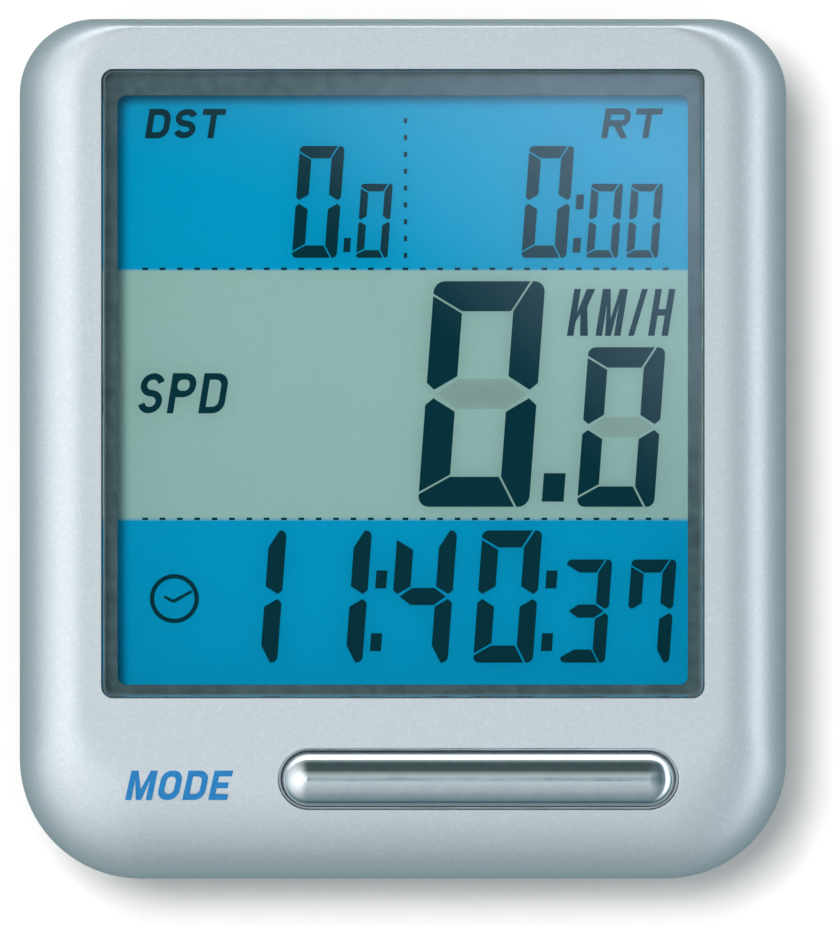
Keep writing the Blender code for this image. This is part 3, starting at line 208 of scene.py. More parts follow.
# %% Meshes
def show(name, mesh, finish=None):
    """An object at the origin that shows this mesh."""
    mesh.name = name
    made = bpy.data.objects.new(name, mesh)
    bpy.context.scene.collection.objects.link(made)
    if finish:
        mesh.materials.clear()
        mesh.materials.append(finish)
    return made


def settle(made):
    """Turn an object's modifiers into its mesh."""
    bpy.context.view_layer.update()
    graph = bpy.context.evaluated_depsgraph_get()
    mesh = bpy.data.meshes.new_from_object(made.evaluated_get(graph))
    made.modifiers.clear()
    made.data = mesh
    return made


def as_mesh(bm, mesh=None):
    """Write a bmesh to a mesh, a new one unless it is given, and free it."""
    mesh = mesh or bpy.data.meshes.new("shape")
    bm.to_mesh(mesh)
    bm.free()
    return mesh


MERGE_DISTANCE = 0.0005 * MM


def weld(mesh):
    """Merge a mesh's doubles and point its faces outwards."""
    bm = bmesh.new()
    bm.from_mesh(mesh)
    bmesh.ops.remove_doubles(bm, verts=bm.verts, dist=MERGE_DISTANCE)
    bmesh.ops.recalc_face_normals(bm, faces=bm.faces)
    return as_mesh(bm, mesh)


def mesh_of(guide):
    """The welded mesh of a curve, text or modified object, which is removed."""
    bpy.context.scene.collection.objects.link(guide)
    bpy.context.view_layer.update()
    graph = bpy.context.evaluated_depsgraph_get()
    mesh = bpy.data.meshes.new_from_object(guide.evaluated_get(graph))
    bpy.data.objects.remove(guide, do_unlink=True)
    mesh.materials.clear()
    return weld(mesh)


def slab(outlines, bottom, top):
    """A flat piece between two heights; an outline inside another is a hole."""
    curve = bpy.data.curves.new("slab", "CURVE")
    curve.dimensions = "2D"
    curve.fill_mode = "BOTH"
    curve.extrude = (top - bottom) / 2
    for outline in outlines:
        spline = curve.splines.new("POLY")
        spline.points.add(len(outline) - 1)
        for point, (x, y) in zip(spline.points, outline):
            point.co = (x, y, 0.0, 1.0)
        spline.use_cyclic_u = True
    mesh = mesh_of(bpy.data.objects.new("slab", curve))
    mesh.transform(Matrix.Translation((0.0, 0.0, (bottom + top) / 2)))
    return mesh


def loft(rings):
    """A closed solid through rings (outline, height) that have equally many points."""
    bm = bmesh.new()
    loops = [[bm.verts.new((x, y, height)) for x, y in outline] for outline, height in rings]
    for lower, upper in zip(loops, loops[1:]):
        for index, corner in enumerate(lower):
            following = (index + 1) % len(lower)
            bm.faces.new((corner, lower[following], upper[following], upper[index]))
    bm.faces.new(reversed(loops[0]))
    bm.faces.new(loops[-1])
    return as_mesh(bm)


def turned(profile, centre=(0.0, 0.0), steps=96):
    """A turned solid; the profile (radius, height) runs from the axis round its outer side."""
    mesh = bpy.data.meshes.new("profile")
    edges = [(index, index + 1) for index in range(len(profile) - 1)]
    mesh.from_pydata([(radius, 0.0, height) for radius, height in profile], edges, [])
    guide = bpy.data.objects.new("profile", mesh)
    screw = guide.modifiers.new("Screw", "SCREW")
    screw.steps = steps
    screw.render_steps = steps
    screw.use_merge_vertices = True
    screw.merge_threshold = MERGE_DISTANCE
    mesh = mesh_of(guide)
    mesh.transform(Matrix.Translation((*centre, 0.0)))
    return mesh


def block(left, right, low_y, high_y, bottom, top):
    """A box between two corners, as a tool for cutting and joining."""
    size = Matrix.Diagonal((right - left, high_y - low_y, top - bottom, 1.0))
    middle = Matrix.Translation(((left + right) / 2, (low_y + high_y) / 2, (bottom + top) / 2))
    bm = bmesh.new()
    bmesh.ops.create_cube(bm, size=1.0, matrix=middle @ size)
    return as_mesh(bm)


def joined(meshes):
    """One mesh with everything that these meshes hold."""
    bm = bmesh.new()
    for mesh in meshes:
        bm.from_mesh(mesh)
    return as_mesh(bm)


# %% Cutting and finishing
BEVEL_LIMIT = math.radians(30)
SMOOTH_LIMIT = math.radians(50)
FACE_WEIGHT = 80


def combine(made, mesh, operation="DIFFERENCE"):
    """Cut a mesh from a piece, or join it on."""
    tool = bpy.data.objects.new("tool", mesh)
    bpy.context.scene.collection.objects.link(tool)
    boolean = made.modifiers.new("Boolean", "BOOLEAN")
    boolean.operation = operation
    boolean.object = tool
    settle(made)
    bpy.data.objects.remove(tool, do_unlink=True)
    return made


def round_edges(made, width, segments=3):
    """Round a piece's sharp edges and shade it smooth."""
    if width:
        bevel = made.modifiers.new("Bevel", "BEVEL")
        bevel.width = width
        bevel.segments = segments
        bevel.limit_method = "ANGLE"
        bevel.angle_limit = BEVEL_LIMIT
        settle(made)
    made.data.shade_smooth()
    made.data.set_sharp_from_angle(angle=SMOOTH_LIMIT)
    weighted = made.modifiers.new("Weighted", "WEIGHTED_NORMAL")
    weighted.keep_sharp = True
    weighted.weight = FACE_WEIGHT
    return settle(made)


def fit(made, body, replaces=()):
    """Let a piece ride on a body and stand for CAD nodes, which are hidden."""
    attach(made, body)
    if replaces:
        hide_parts(*replaces)
    print(made.name, len(made.data.polygons), "faces")
    return made


# %% [markdown]
# ## Sizes
# Places come from the frame's boxes. The sizes that no box tells, such as the sweep of the
# shoulder, are the same named values that the frame was made with.

# %% Read the sizes
def flat_box(node):
    """A node's box seen from above: (left, right, bottom, top)."""
    low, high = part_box(node)
    return (low[0], high[0], low[1], high[1])


def centre_of(box):
    """The middle of a box seen from above."""
    return ((box[0] + box[1]) / 2, (box[2] + box[3]) / 2)


CASE = flat_box("front_cover")
CROWN = 16.0 * MM
SHOULDER_RISE = 4.0 * MM
SHOULDER_START = CROWN - SHOULDER_RISE
FRONT_BOTTOM = 7.6 * MM
WALL, ROOF = 1.8 * MM, 1.5 * MM
CORNER_TOP, CORNER_BOTTOM = 4.4 * MM, 7.0 * MM
CROWN_CORNER_TOP, CROWN_CORNER_BOTTOM = 3.6 * MM, 4.0 * MM
SHOULDER_SIDE, SHOULDER_TOP, SHOULDER_BOTTOM = 3.8 * MM, 0.7 * MM, 6.2 * MM

WINDOW_FLANGE, WINDOW_CORNER, WINDOW_GAP = 0.9 * MM, 0.7 * MM, 0.1 * MM
FLANGE = flat_box("display_window")
OPENING = grow(FLANGE, -WINDOW_FLANGE)
BEZEL = flat_box("lcd_bezel")
VIEW = grow(BEZEL, -1.75 * MM, -1.65 * MM, -2.0 * MM)

BUTTON_FLANGE = 0.85 * MM
BAR_FLANGE = flat_box("mode_button")
BAR_CENTRE = centre_of(BAR_FLANGE)
BAR_LENGTH = BAR_FLANGE[1] - BAR_FLANGE[0] - 2 * BUTTON_FLANGE
BAR_WIDTH = BAR_FLANGE[3] - BAR_FLANGE[2] - 2 * BUTTON_FLANGE
SLOT_GAP = 0.15 * MM
BATTERY_CENTRE = centre_of(flat_box("battery"))
print("case", [round(v / MM, 2) for v in CASE], "view", [round(v / MM, 2) for v in VIEW])
print("bar", round(BAR_LENGTH / MM, 2), round(BAR_WIDTH / MM, 2))


def case_outline(inset, shoulder=0.0, steps=24):
    """The case outline drawn in by a wall, and by a share of the swept shoulder."""
    side = inset + SHOULDER_SIDE * shoulder
    bottom = inset + SHOULDER_BOTTOM * shoulder
    top = inset + SHOULDER_TOP * shoulder
    corner_top = CORNER_TOP + (CROWN_CORNER_TOP - CORNER_TOP) * shoulder - inset
    corner_bottom = CORNER_BOTTOM + (CROWN_CORNER_BOTTOM - CORNER_BOTTOM) * shoulder - inset
    return rounded_rectangle(grow(CASE, -side, -bottom, -top), corner_top, corner_bottom, steps)


# %% [markdown]
# ## Camera, floor and light
# The unit is seen straight from above with a long lens, so its sides hardly show. It lies on a
# matt white board under a soft light a little to the upper left, which gives the short shadow on
# the right and below. Metallic paint and chrome show the room more than themselves, so the room
# that the glossy faces mirror is drawn on its own, by direction: bright on the left, a low strip
# on the right, another beyond the top, and darkness between them.

# %% Camera
VIEW_HEIGHT = 53.84 * MM
CAMERA_X, CAMERA_Y, CAMERA_UP = 0.79 * MM, -0.79 * MM, 600 * MM
SENSOR = 36.0
camera_data = bpy.data.cameras.new("camera")
camera_data.sensor_width = SENSOR
camera_data.lens = SENSOR * (CAMERA_UP - SHOULDER_START) / VIEW_HEIGHT
camera_data.clip_end = 10.0
camera = bpy.data.objects.new("camera", camera_data)
camera.location = (CAMERA_X, CAMERA_Y, CAMERA_UP)
bpy.context.scene.collection.objects.link(camera)
bpy.context.scene.camera = camera
bpy.context.scene.view_settings.view_transform = "Standard"
print("lens", round(camera_data.lens), "mm")


# %% Floor
# The board glows a little to the eye, which lifts its shadow, and is dimmer to the unit's own sides.
def by_ray(tree, choices, otherwise):
    """A shader picked by the kind of ray that sees it, from (ray name, shader) pairs."""
    path = add(tree, "ShaderNodeLightPath")
    for ray, shader in choices:
        mixed = add(tree, "ShaderNodeMixShader", links={0: path.outputs[ray], 1: otherwise, 2: shader})
        otherwise = mixed.outputs[0]
    return otherwise


matt_board, tree, place = start_finish("matt_white_board")
pale = tones(tree, noise(tree, place, 2.0 * MM, 4.0), (0.3, "F4F4F4"), (0.7, "F7F7F7"))
white = add(tree, "ShaderNodeBsdfDiffuse", links={"Color": pale}).outputs[0]
glow = add(tree, "ShaderNodeEmission", {"Strength": 0.13}).outputs[0]
seen_board = add(tree, "ShaderNodeAddShader", links={0: white, 1: glow}).outputs[0]
dim_board = add(tree, "ShaderNodeBsdfDiffuse", {"Color": linear("70898F")}).outputs[0]
board = by_ray(tree, [("Is Camera Ray", seen_board)], dim_board)
add(tree, "ShaderNodeOutputMaterial", links={"Surface": board})
FLOOR_RADIUS, FLOOR_THICKNESS = 1.5, 10 * MM
floor = show("floor", slab([circle(FLOOR_RADIUS)], -FLOOR_THICKNESS, 0.0), matt_board)

# %% Soft light for the matt faces
LIGHT_AWAY, LIGHT_SIZE, LIGHT_POWER = 0.9, 0.20, 5.8
LEAN, COMPASS = math.radians(10), math.radians(138)
light_data = bpy.data.lights.new("soft_top_light", "AREA")
light_data.size = LIGHT_SIZE
light_data.energy = LIGHT_POWER
light_data.color = linear("FFFCF6")[:3]
light = bpy.data.objects.new("soft_top_light", light_data)
light.location = (LIGHT_AWAY * math.sin(LEAN) * math.cos(COMPASS),
                  LIGHT_AWAY * math.sin(LEAN) * math.sin(COMPASS), LIGHT_AWAY * math.cos(LEAN))
light.rotation_euler = (0.0, LEAN, COMPASS)
light.visible_camera = False
light.visible_glossy = False
light.visible_transmission = False
bpy.context.scene.collection.objects.link(light)

# %% The room in the reflections
# Each list gives (lean from straight up in degrees, colour) along one direction of the room.
ROOM_STRENGTH = 2.6
LEFT_TO_RIGHT = [
    (-90, "66787E"), (-74, "8E979B"), (-50, "B0B3B6"), (-24, "CCCFD2"), (-13, "B6BBBF"),
    (0, "849095"), (12, "566268"), (38, "38464C"), (54, "506068"), (61, "CDD4DC"), (75, "CDD4DC"),
    (82, "687A80"), (90, "50646A")]
BOTTOM_TO_TOP = [
    (-90, "1E2E32"), (-74, "4A5A5F"), (-50, "5E696D"), (-35, "72797D"), (0, "849095"), (8, "767F80"),
    (16, "5A6464"), (23, "2C3636"), (47, "2A3434"), (60, "5C6A6C"), (69, "F6FAFF"), (83, "F6FAFF"),
    (87, "A0ACB0"), (90, "8C999E")]
world = bpy.data.worlds.new("studio")
world.use_nodes = True
tree = world.node_tree
tree.nodes.clear()
direction = add(tree, "ShaderNodeTexCoord").outputs["Generated"]
sight = add(tree, "ShaderNodeSeparateXYZ", links={"Vector": direction}).outputs
rooms, squares = [], []
for axis, colours in (("X", LEFT_TO_RIGHT), ("Y", BOTTOM_TO_TOP)):
    leaning_by = calculate(tree, "ARCTAN2", sight[axis], sight["Z"])
    along = share_of(tree, leaning_by, -math.pi / 2, math.pi / 2)
    rooms.append(tones(tree, along, *[((angle + 90) / 180, colour) for angle, colour in colours]))
    squares.append(calculate(tree, "POWER", sight[axis], 2.0))
share = calculate(tree, "DIVIDE", squares[0], calculate(tree, "ADD", *squares))
room = add(tree, "ShaderNodeMix", links={0: share, 6: rooms[1], 7: rooms[0]}, data_type="RGBA")

# %% The window's own reflection
# The flat window mirrors only a spot at the zenith, as wide as the window is from the camera. It is
# dark, and a pale card enters it over the upper right, past a corner that two straight edges make.
GLASS_DISTANCE = CAMERA_UP - CROWN
CORNER_X, CORNER_Y = -6.0 * MM - CAMERA_X, 15.1 * MM - CAMERA_Y
CARD_EDGES = [(0.33, 1.6 * MM), (0.87, 1.2 * MM)]
CARD_REACH = 20 * MM
SPOT_ACROSS, SPOT_UPWARDS = (-21 * MM, 21 * MM), (-16 * MM, 26 * MM)
across, upwards = [calculate(tree, "MULTIPLY", sight[axis], GLASS_DISTANCE) for axis in "XY"]
cards = []
for slope, softness in CARD_EDGES:
    rise = calculate(tree, "MULTIPLY_ADD", across, slope, -slope * CORNER_X - CORNER_Y)
    reach = share_of(tree, calculate(tree, "ADD", rise, upwards), -softness, CARD_REACH)
    cards.append(tones(tree, reach, (0.0, "06090A"), (2 * softness / CARD_REACH, "303E46"), (1.0, "B8D2EC")))
card = add(tree, "ShaderNodeMix", {0: 1.0}, {6: cards[0], 7: cards[1]}, data_type="RGBA",
           blend_type="LIGHTEN")
inside = calculate(tree, "GREATER_THAN", sight["Z"], 0.0)
for value, (low_end, high_end) in ((across, SPOT_ACROSS), (upwards, SPOT_UPWARDS)):
    for end, side in ((low_end, "GREATER_THAN"), (high_end, "LESS_THAN")):
        inside = calculate(tree, "MULTIPLY", inside, calculate(tree, side, value, end))
mirrored = add(tree, "ShaderNodeMix", links={0: inside, 6: room.outputs[2], 7: card.outputs[2]},
               data_type="RGBA")

# %% World
# The eye sees a plain pale wall, glossy faces mirror the room and matt faces get an even fill. The
# sky isn't sampled as a light, so that each kind of ray keeps to its own sky.
seen_sky = add(tree, "ShaderNodeBackground", {"Color": linear("F6F7F8"), "Strength": 1.0}).outputs[0]
mirrored_sky = add(tree, "ShaderNodeBackground", {"Strength": ROOM_STRENGTH},
                   {"Color": mirrored.outputs[2]}).outputs[0]
even_sky = add(tree, "ShaderNodeBackground", {"Color": linear("E2ECF0"), "Strength": 0.46}).outputs[0]
sky = by_ray(tree, [("Is Glossy Ray", mirrored_sky), ("Is Camera Ray", seen_sky)], even_sky)
add(tree, "ShaderNodeOutputWorld", links={"Surface": sky})
world.cycles.sampling_method = "NONE"
bpy.context.scene.world = world
print("room drawn from", len(LEFT_TO_RIGHT) + len(BOTTOM_TO_TOP), "directions")


# %% [markdown]
# ## Silver paint
# The front cover is ABS sprayed with a metallic basecoat: aluminium flakes in a clear binder. Each
# flake lies a little tilted, so the surface has a fine sparkle and a wide, soft gloss. A Voronoi
# pattern gives each flake its own brightness and a fine noise tilts them. Real flakes are about
# 0.03 mm across, too fine to show, so they are drawn at 0.12 mm.

# %% Silver paint
FLAKE = 0.12 * MM
silver_paint, tree, place = start_finish("silver_metallic_paint")
flakes = add(tree, "ShaderNodeTexVoronoi", {"Scale": 1 / FLAKE}, {"Vector": place})
flake = add(tree, "ShaderNodeSeparateColor", links={"Color": flakes.outputs["Color"]})
tone = tones(tree, flake.outputs["Red"], (0.0, "E4E8EC"), (0.8, "E8ECF0"), (1.0, "EEF2F6"))
shine = between(tree, flake.outputs["Green"], 0.42, 0.48)
sparkle = bump(tree, noise(tree, place, 1.4 * FLAKE, 1.0), 0.003 * MM)
end_finish(tree, {"Metallic": 0.75}, {"Base Color": tone, "Roughness": shine, "Normal": sparkle})


# %% [markdown]
# ## Front cover
# The cover is one moulding with a shoulder that sweeps down to the sides, narrow at the top and
# wide at the bottom. A quarter of an ellipse goes round the whole outline, so a loft through many
# outlines follows the same law as the mould and mirrors the lights without a ripple. The inside,
# the window opening, the key's slot and the screw bosses are then cut and joined, and the sharp
# rims are rounded, because a moulded and painted edge is never knife sharp.

# %% Front cover
SHOULDER_STEPS = 24
OVERSHOOT = 1.0 * MM
POCKET_GAP = 0.2 * MM
MEMBRANE_FLANGE = 1.0 * MM


def shoulder_rings(inset, rise, steps=SHOULDER_STEPS):
    """Rings up the swept shoulder, a quarter ellipse of this rise."""
    return [(case_outline(inset, 1 - math.cos(angle)), SHOULDER_START + rise * math.sin(angle))
            for angle in quarter_turn(steps)]


def low_rim(radius=0.25 * MM, steps=4):
    """The rounded lower rim of the cover, from its underside up to its side."""
    return [(case_outline(radius * (1 - math.sin(angle))), FRONT_BOTTOM + radius * (1 - math.cos(angle)))
            for angle in quarter_turn(steps)]


PLATEAU = 0.3 * MM
rings = low_rim() + shoulder_rings(0.0, SHOULDER_RISE) + [(case_outline(PLATEAU, 1.0), CROWN)]
cover = show("front_case", loft(rings), silver_paint)
inner_rim = (case_outline(WALL), FRONT_BOTTOM - OVERSHOOT)
combine(cover, loft([inner_rim] + shoulder_rings(WALL, SHOULDER_RISE - ROOF, 8)))

POCKET_START = SHOULDER_START - OVERSHOOT
POCKET_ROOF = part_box("window_tape")[1][2] + 0.05 * MM
pocket = rounded_rectangle(grow(FLANGE, POCKET_GAP), WINDOW_CORNER + WINDOW_FLANGE)
combine(cover, slab([pocket], POCKET_START, POCKET_ROOF))
pocket = rounded_rectangle(grow(BEZEL, POCKET_GAP), WINDOW_CORNER)
combine(cover, slab([pocket], POCKET_START - 0.1 * MM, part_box("lcd_bezel")[1][2] + 0.1 * MM))
combine(cover, slab([rounded_rectangle(OPENING, WINDOW_CORNER)], SHOULDER_START, CROWN + OVERSHOOT))

slot = stadium(BAR_LENGTH + 2 * SLOT_GAP, BAR_WIDTH + 2 * SLOT_GAP, BAR_CENTRE)
combine(cover, slab([slot], SHOULDER_START, CROWN + OVERSHOOT))
reach = 2 * (BUTTON_FLANGE + POCKET_GAP)
pocket = stadium(BAR_LENGTH + reach, BAR_WIDTH + reach, BAR_CENTRE)
combine(cover, slab([pocket], POCKET_START - 0.05 * MM, POCKET_ROOF + 0.05 * MM))
reach = 2 * (BUTTON_FLANGE + MEMBRANE_FLANGE + POCKET_GAP)
pocket = stadium(BAR_LENGTH + reach, BAR_WIDTH + reach, BAR_CENTRE)
membrane_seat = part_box("button_membrane")[1][2] - 0.6 * MM
combine(cover, slab([pocket], POCKET_START - POCKET_GAP, membrane_seat))
print("front cover cut,", len(cover.data.polygons), "faces")


# %% Screw bosses and seal groove
CASE_SCREW_X, CASE_SCREW_HIGH, CASE_SCREW_LOW = 19.1 * MM, 19.0 * MM, -14.6 * MM
BOSS_BOTTOM, BOSS_TOP, BOSS_RADIUS = 7.1 * MM, 13.3 * MM, 1.3 * MM
PILOT_RADIUS, PILOT_TOP = 0.85 * MM, 10.95 * MM
SEAL_INSET, SEAL_WIDTH, SEAL_HEIGHT = 0.6 * MM, 0.6 * MM, 0.45 * MM
case_screws = [(x, y) for x in (-CASE_SCREW_X, CASE_SCREW_X) for y in (CASE_SCREW_LOW, CASE_SCREW_HIGH)]
for x, y in case_screws:
    combine(cover, slab([circle(BOSS_RADIUS, (x, y), 32)], BOSS_BOTTOM, BOSS_TOP), "UNION")
    wall_x = math.copysign(CASE[1] - WALL + 0.4 * MM, x)
    web = block(min(x, wall_x), max(x, wall_x), y - 0.5 * MM, y + 0.5 * MM,
                FRONT_BOTTOM + SEAL_HEIGHT, BOSS_TOP - 0.15 * MM)
    combine(cover, web, "UNION")
    combine(cover, slab([circle(PILOT_RADIUS, (x, y), 24)], BOSS_BOTTOM - OVERSHOOT, PILOT_TOP))
groove = [case_outline(SEAL_INSET - 0.05 * MM), case_outline(SEAL_INSET + SEAL_WIDTH + 0.05 * MM)]
combine(cover, slab(groove, FRONT_BOTTOM - OVERSHOOT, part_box("case_seal")[1][2] + 0.1 * MM))
round_edges(cover, 0.12 * MM)
fit(cover, "case", ["front_cover"])


# %% [markdown]
# ## Clear window
# The window is a moulded acrylic block, flush with the cover. Its upper edge is rounded a little,
# which gives the thin bright line inside the opening. Acrylic bends light with an index of 1.49.
# Light rays pass it without a shadow here, because a real window of this clearness hardly dims
# what lies below it.

# %% Clear window
acrylic, tree, place = start_finish("clear_moulded_acrylic")
wipe = noise(tree, place, 3.0 * MM, 4.0)
clear = tones(tree, wipe, (0.0, "F8FDFF"), (1.0, "FFFFFF"))
end_finish(tree, {"IOR": 1.49, "Transmission Weight": 1.0},
           {"Base Color": clear, "Roughness": between(tree, wipe, 0.0, 0.004)})

window_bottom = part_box("display_window")[0][2]
window_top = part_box("display_window")[1][2]
flange_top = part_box("window_tape")[0][2] - 0.05 * MM
EDGE_ROUND = 0.16 * MM
flange_outline = rounded_rectangle(FLANGE, WINDOW_CORNER + WINDOW_FLANGE - 0.2 * MM)
plug_box, plug_corner = grow(OPENING, -WINDOW_GAP), WINDOW_CORNER - WINDOW_GAP
rings = [(flange_outline, window_bottom), (flange_outline, flange_top)]
rings.append((rounded_rectangle(plug_box, plug_corner), flange_top))
for angle in quarter_turn(5):
    drawn_in = EDGE_ROUND * (1 - math.cos(angle))
    outline = rounded_rectangle(grow(plug_box, -drawn_in), plug_corner - drawn_in)
    rings.append((outline, window_top - EDGE_ROUND + EDGE_ROUND * math.sin(angle)))
window = show("clear_window", loft(rings), acrylic)
round_edges(window, 0.0)
window.visible_shadow = False
window.visible_diffuse = False
fit(window, "case", ["display_window"])


# %% [markdown]
# ## Display frame
# A dark frame steps down from the window to the display. It is moulded with a fine spark-eroded
# texture, which scatters light and looks grey-green where the softbox reaches it.

# %% Display frame
frame_plastic = textured_finish("dark_textured_frame_plastic", "4C6367", "384D52", 0.8 * MM,
                                0.09 * MM, 0.012 * MM, 0.5, IOR=1.5)
low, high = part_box("lcd_bezel")
notch = [circle(BOSS_RADIUS + 0.3 * MM, place_of, 32) for place_of in case_screws]
outer = rounded_rectangle(BEZEL, WINDOW_CORNER - 0.2 * MM)
inner = rounded_rectangle(VIEW, WINDOW_CORNER - 0.2 * MM)
display_frame = show("display_frame", slab([outer, inner], low[2], high[2]), frame_plastic)
for outline in notch:
    combine(display_frame, slab([outline], low[2] - OVERSHOOT, high[2] + OVERSHOOT))
round_edges(display_frame, 0.1 * MM)
fit(display_frame, "case", ["lcd_bezel"])


# %% [markdown]
# ## Display sheets
# A liquid crystal display is a sandwich: a polariser, two panes of glass with the liquid between
# them, a printed colour film and a reflector. The panes touch each other, so they have next to no
# gloss of their own and only tint the picture a little. The colour film gives the blue bands and
# the grey-green middle. Paper-like fibres of the reflector show through it, which a stretched
# noise gives. It is stuck to the glass, so it has no gloss either.

# %% Polariser and glass
def dress(finish, *names):
    """Give CAD nodes a finish."""
    for name in names:
        mesh = nodes[name].data
        mesh.materials.clear()
        mesh.materials.append(finish)


glass_panes = ("lcd_front_glass", "lcd_rear_glass")
PANE_TONE, PANE_SHINE = ("222C2E", 6.0 * MM, 2.0), {"IOR": 1.52, "Specular_IOR_Level": 0.1}
dress(thin_finish("iodine_polariser_film", "0E1618", *PANE_TONE, Alpha=0.02, Roughness=0.3, **PANE_SHINE),
      "front_polariser")
dress(thin_finish("soda_lime_glass", "1C2628", *PANE_TONE, Alpha=0.012, Roughness=0.05, **PANE_SHINE),
      *glass_panes)
for name in ("front_polariser", *glass_panes):
    nodes[name].visible_shadow = False
    nodes[name].visible_diffuse = False

# %% Colour film
UPPER_EDGE, LOWER_EDGE = 10.42 * MM, -4.10 * MM
film_finish, tree, place = start_finish("printed_film_and_painted_reflection")
axes = add(tree, "ShaderNodeSeparateXYZ", links={"Vector": place})
height = share_of(tree, axes.outputs["Y"], VIEW[2], VIEW[3])
upper, lower = [(edge - VIEW[2]) / (VIEW[3] - VIEW[2]) for edge in (UPPER_EDGE, LOWER_EDGE)]
BLEND = 0.002
# The stops grow a little lighter towards the top. That lightening is a painted reflection of the light above,
# laid over the printed colours of the bands.
bands = tones(tree, height, (0.0, "0099CA"), (lower - BLEND, "009ACB"), (lower + BLEND, "95BCB8"),
              (upper - BLEND, "98BEB9"), (upper + BLEND, "009FD0"), (1.0, "00A2D4"))
stretched = add(tree, "ShaderNodeMapping", {"Scale": (1.0, 2.5, 1.0), "Rotation": (0.0, 0.0, 0.6)},
                {"Vector": place})
fibres = noise(tree, stretched.outputs["Vector"], 0.35 * MM, 4.0, Distortion=0.6)
print_and_painted_reflection = add(tree, "ShaderNodeVectorMath", links={0: bands, "Scale": between(tree, fibres, 0.90, 1.08)},
              operation="SCALE")
end_finish(tree, {"Roughness": 0.7, "Specular IOR Level": 0.0},
           {"Base Color": print_and_painted_reflection.outputs["Vector"], "Normal": bump(tree, fibres, 0.01 * MM)})
dress(film_finish, "colour_filter_film")
print("bands at", round(lower, 3), round(upper, 3), "of the view")


# %% [markdown]
# ## Display segments
# Each digit is seven electrodes. The crystal darkens over the ones that are switched on, so they
# look like thin dark plates between the panes. A corner belongs to one segment and is rounded, the
# next one meets it in a mitre, and the upright ones end in a point beside the middle bar. The
# digits lean a little, as on most such displays. A faint middle bar shows where it is off.

# %% Segment shapes
SLANT = 0.0735
INK_BOTTOM, INK_TOP = 11.31 * MM, 11.34 * MM
CORNER_SHARE, TIP_SHARE = 0.42, 0.26


def arc_corner(corner, radius, start, steps=5):
    """A rounded corner: the arc about its centre from a start angle, anticlockwise a quarter turn."""
    middle = math.radians(start + 45)
    return arc(corner[0] - math.copysign(radius, math.cos(middle)),
               corner[1] - math.copysign(radius, math.sin(middle)), radius, start, 90, steps)


def segments(width, height, stroke, gap):
    """The seven segments of an upright digit whose lower left corner is at zero."""
    cut, radius = CORNER_SHARE * stroke, 0.36 * stroke
    middle, point = height / 2, max(0.14 * stroke, 0.6 * gap)
    tip, rise = TIP_SHARE * stroke, 0.45 * stroke
    far, inner = width, width - stroke
    up, down = middle + point, middle - point
    shapes = {
        "a": [(stroke, height - stroke), (inner - gap, height - stroke), (far - cut - gap, height)]
             + arc_corner((0, height), radius, 90) + [(0, height - cut)],
        "b": [(far - cut, height), (inner, height - stroke), (inner, up + rise), (far - tip, up),
              (far, up + 0.5 * rise)] + arc_corner((far, height), radius, 0),
        "c": [(far - cut, 0)] + arc_corner((far, 0), radius, 270)
             + [(far, down - 0.5 * rise), (far - tip, down), (inner, down - rise), (inner, stroke)],
        "d": [(0, cut)] + arc_corner((0, 0), radius, 180)
             + [(far - cut - gap, 0), (inner - gap, stroke), (stroke, stroke)],
        "e": [(0, cut + gap), (stroke, stroke + gap), (stroke, down - rise), (tip, down),
              (0, down - 0.5 * rise)],
        "f": [(0, up + 0.5 * rise), (tip, up), (stroke, up + rise), (stroke, height - stroke - gap),
              (0, height - cut - gap)],
        "g": [(tip + gap, middle), (stroke + 0.6 * gap, middle - stroke / 2),
              (inner - 0.6 * gap, middle - stroke / 2), (far - tip - gap, middle),
              (inner - 0.6 * gap, middle + stroke / 2), (stroke + 0.6 * gap, middle + stroke / 2)],
    }
    return shapes


LIT = {"0": "abcdef", "1": "bc", "3": "abcdg", "4": "bcfg", "7": "abcf"}


def leaning(outline, x, y):
    """An outline in mm, moved to its place and leaned."""
    return [((x + px + SLANT * py) * MM, (y + py) * MM) for px, py in outline]


# %% Digits
# A digit is its number, its lower left corner and its (width, height, stroke); all in mm.
TRIP_LINE, SPEED_LINE, TIME_LINE = 11.12, -3.37, -12.44
big_speed, small_speed = (6.47, 13.13, 1.75), (4.49, 9.29, 1.19)
big_trip, small_trip = (2.61, 6.51, 0.72), (1.84, 4.31, 0.45)
big_time, small_time = (3.48, 7.70, 1.00), (2.62, 6.01, 0.77)
WIDE_STROKE, WIDE_GAP, NARROW_GAP = 0.9, 0.13, 0.09
digits = [
    ("0", 0.86, SPEED_LINE, big_speed), ("0", 10.12, SPEED_LINE, small_speed),
    ("0", -6.47, TRIP_LINE, big_trip), ("0", -2.74, TRIP_LINE, small_trip),
    ("0", 6.89, TRIP_LINE, big_trip), ("0", 10.66, TRIP_LINE, small_trip),
    ("0", 12.99, TRIP_LINE, small_trip),
    ("1", -10.80, TIME_LINE, big_time), ("1", -5.84, TIME_LINE, big_time), ("4", -0.88, TIME_LINE, big_time),
    ("0", 4.07, TIME_LINE, big_time), ("3", 9.13, TIME_LINE, small_time), ("7", 12.87, TIME_LINE, small_time),
]
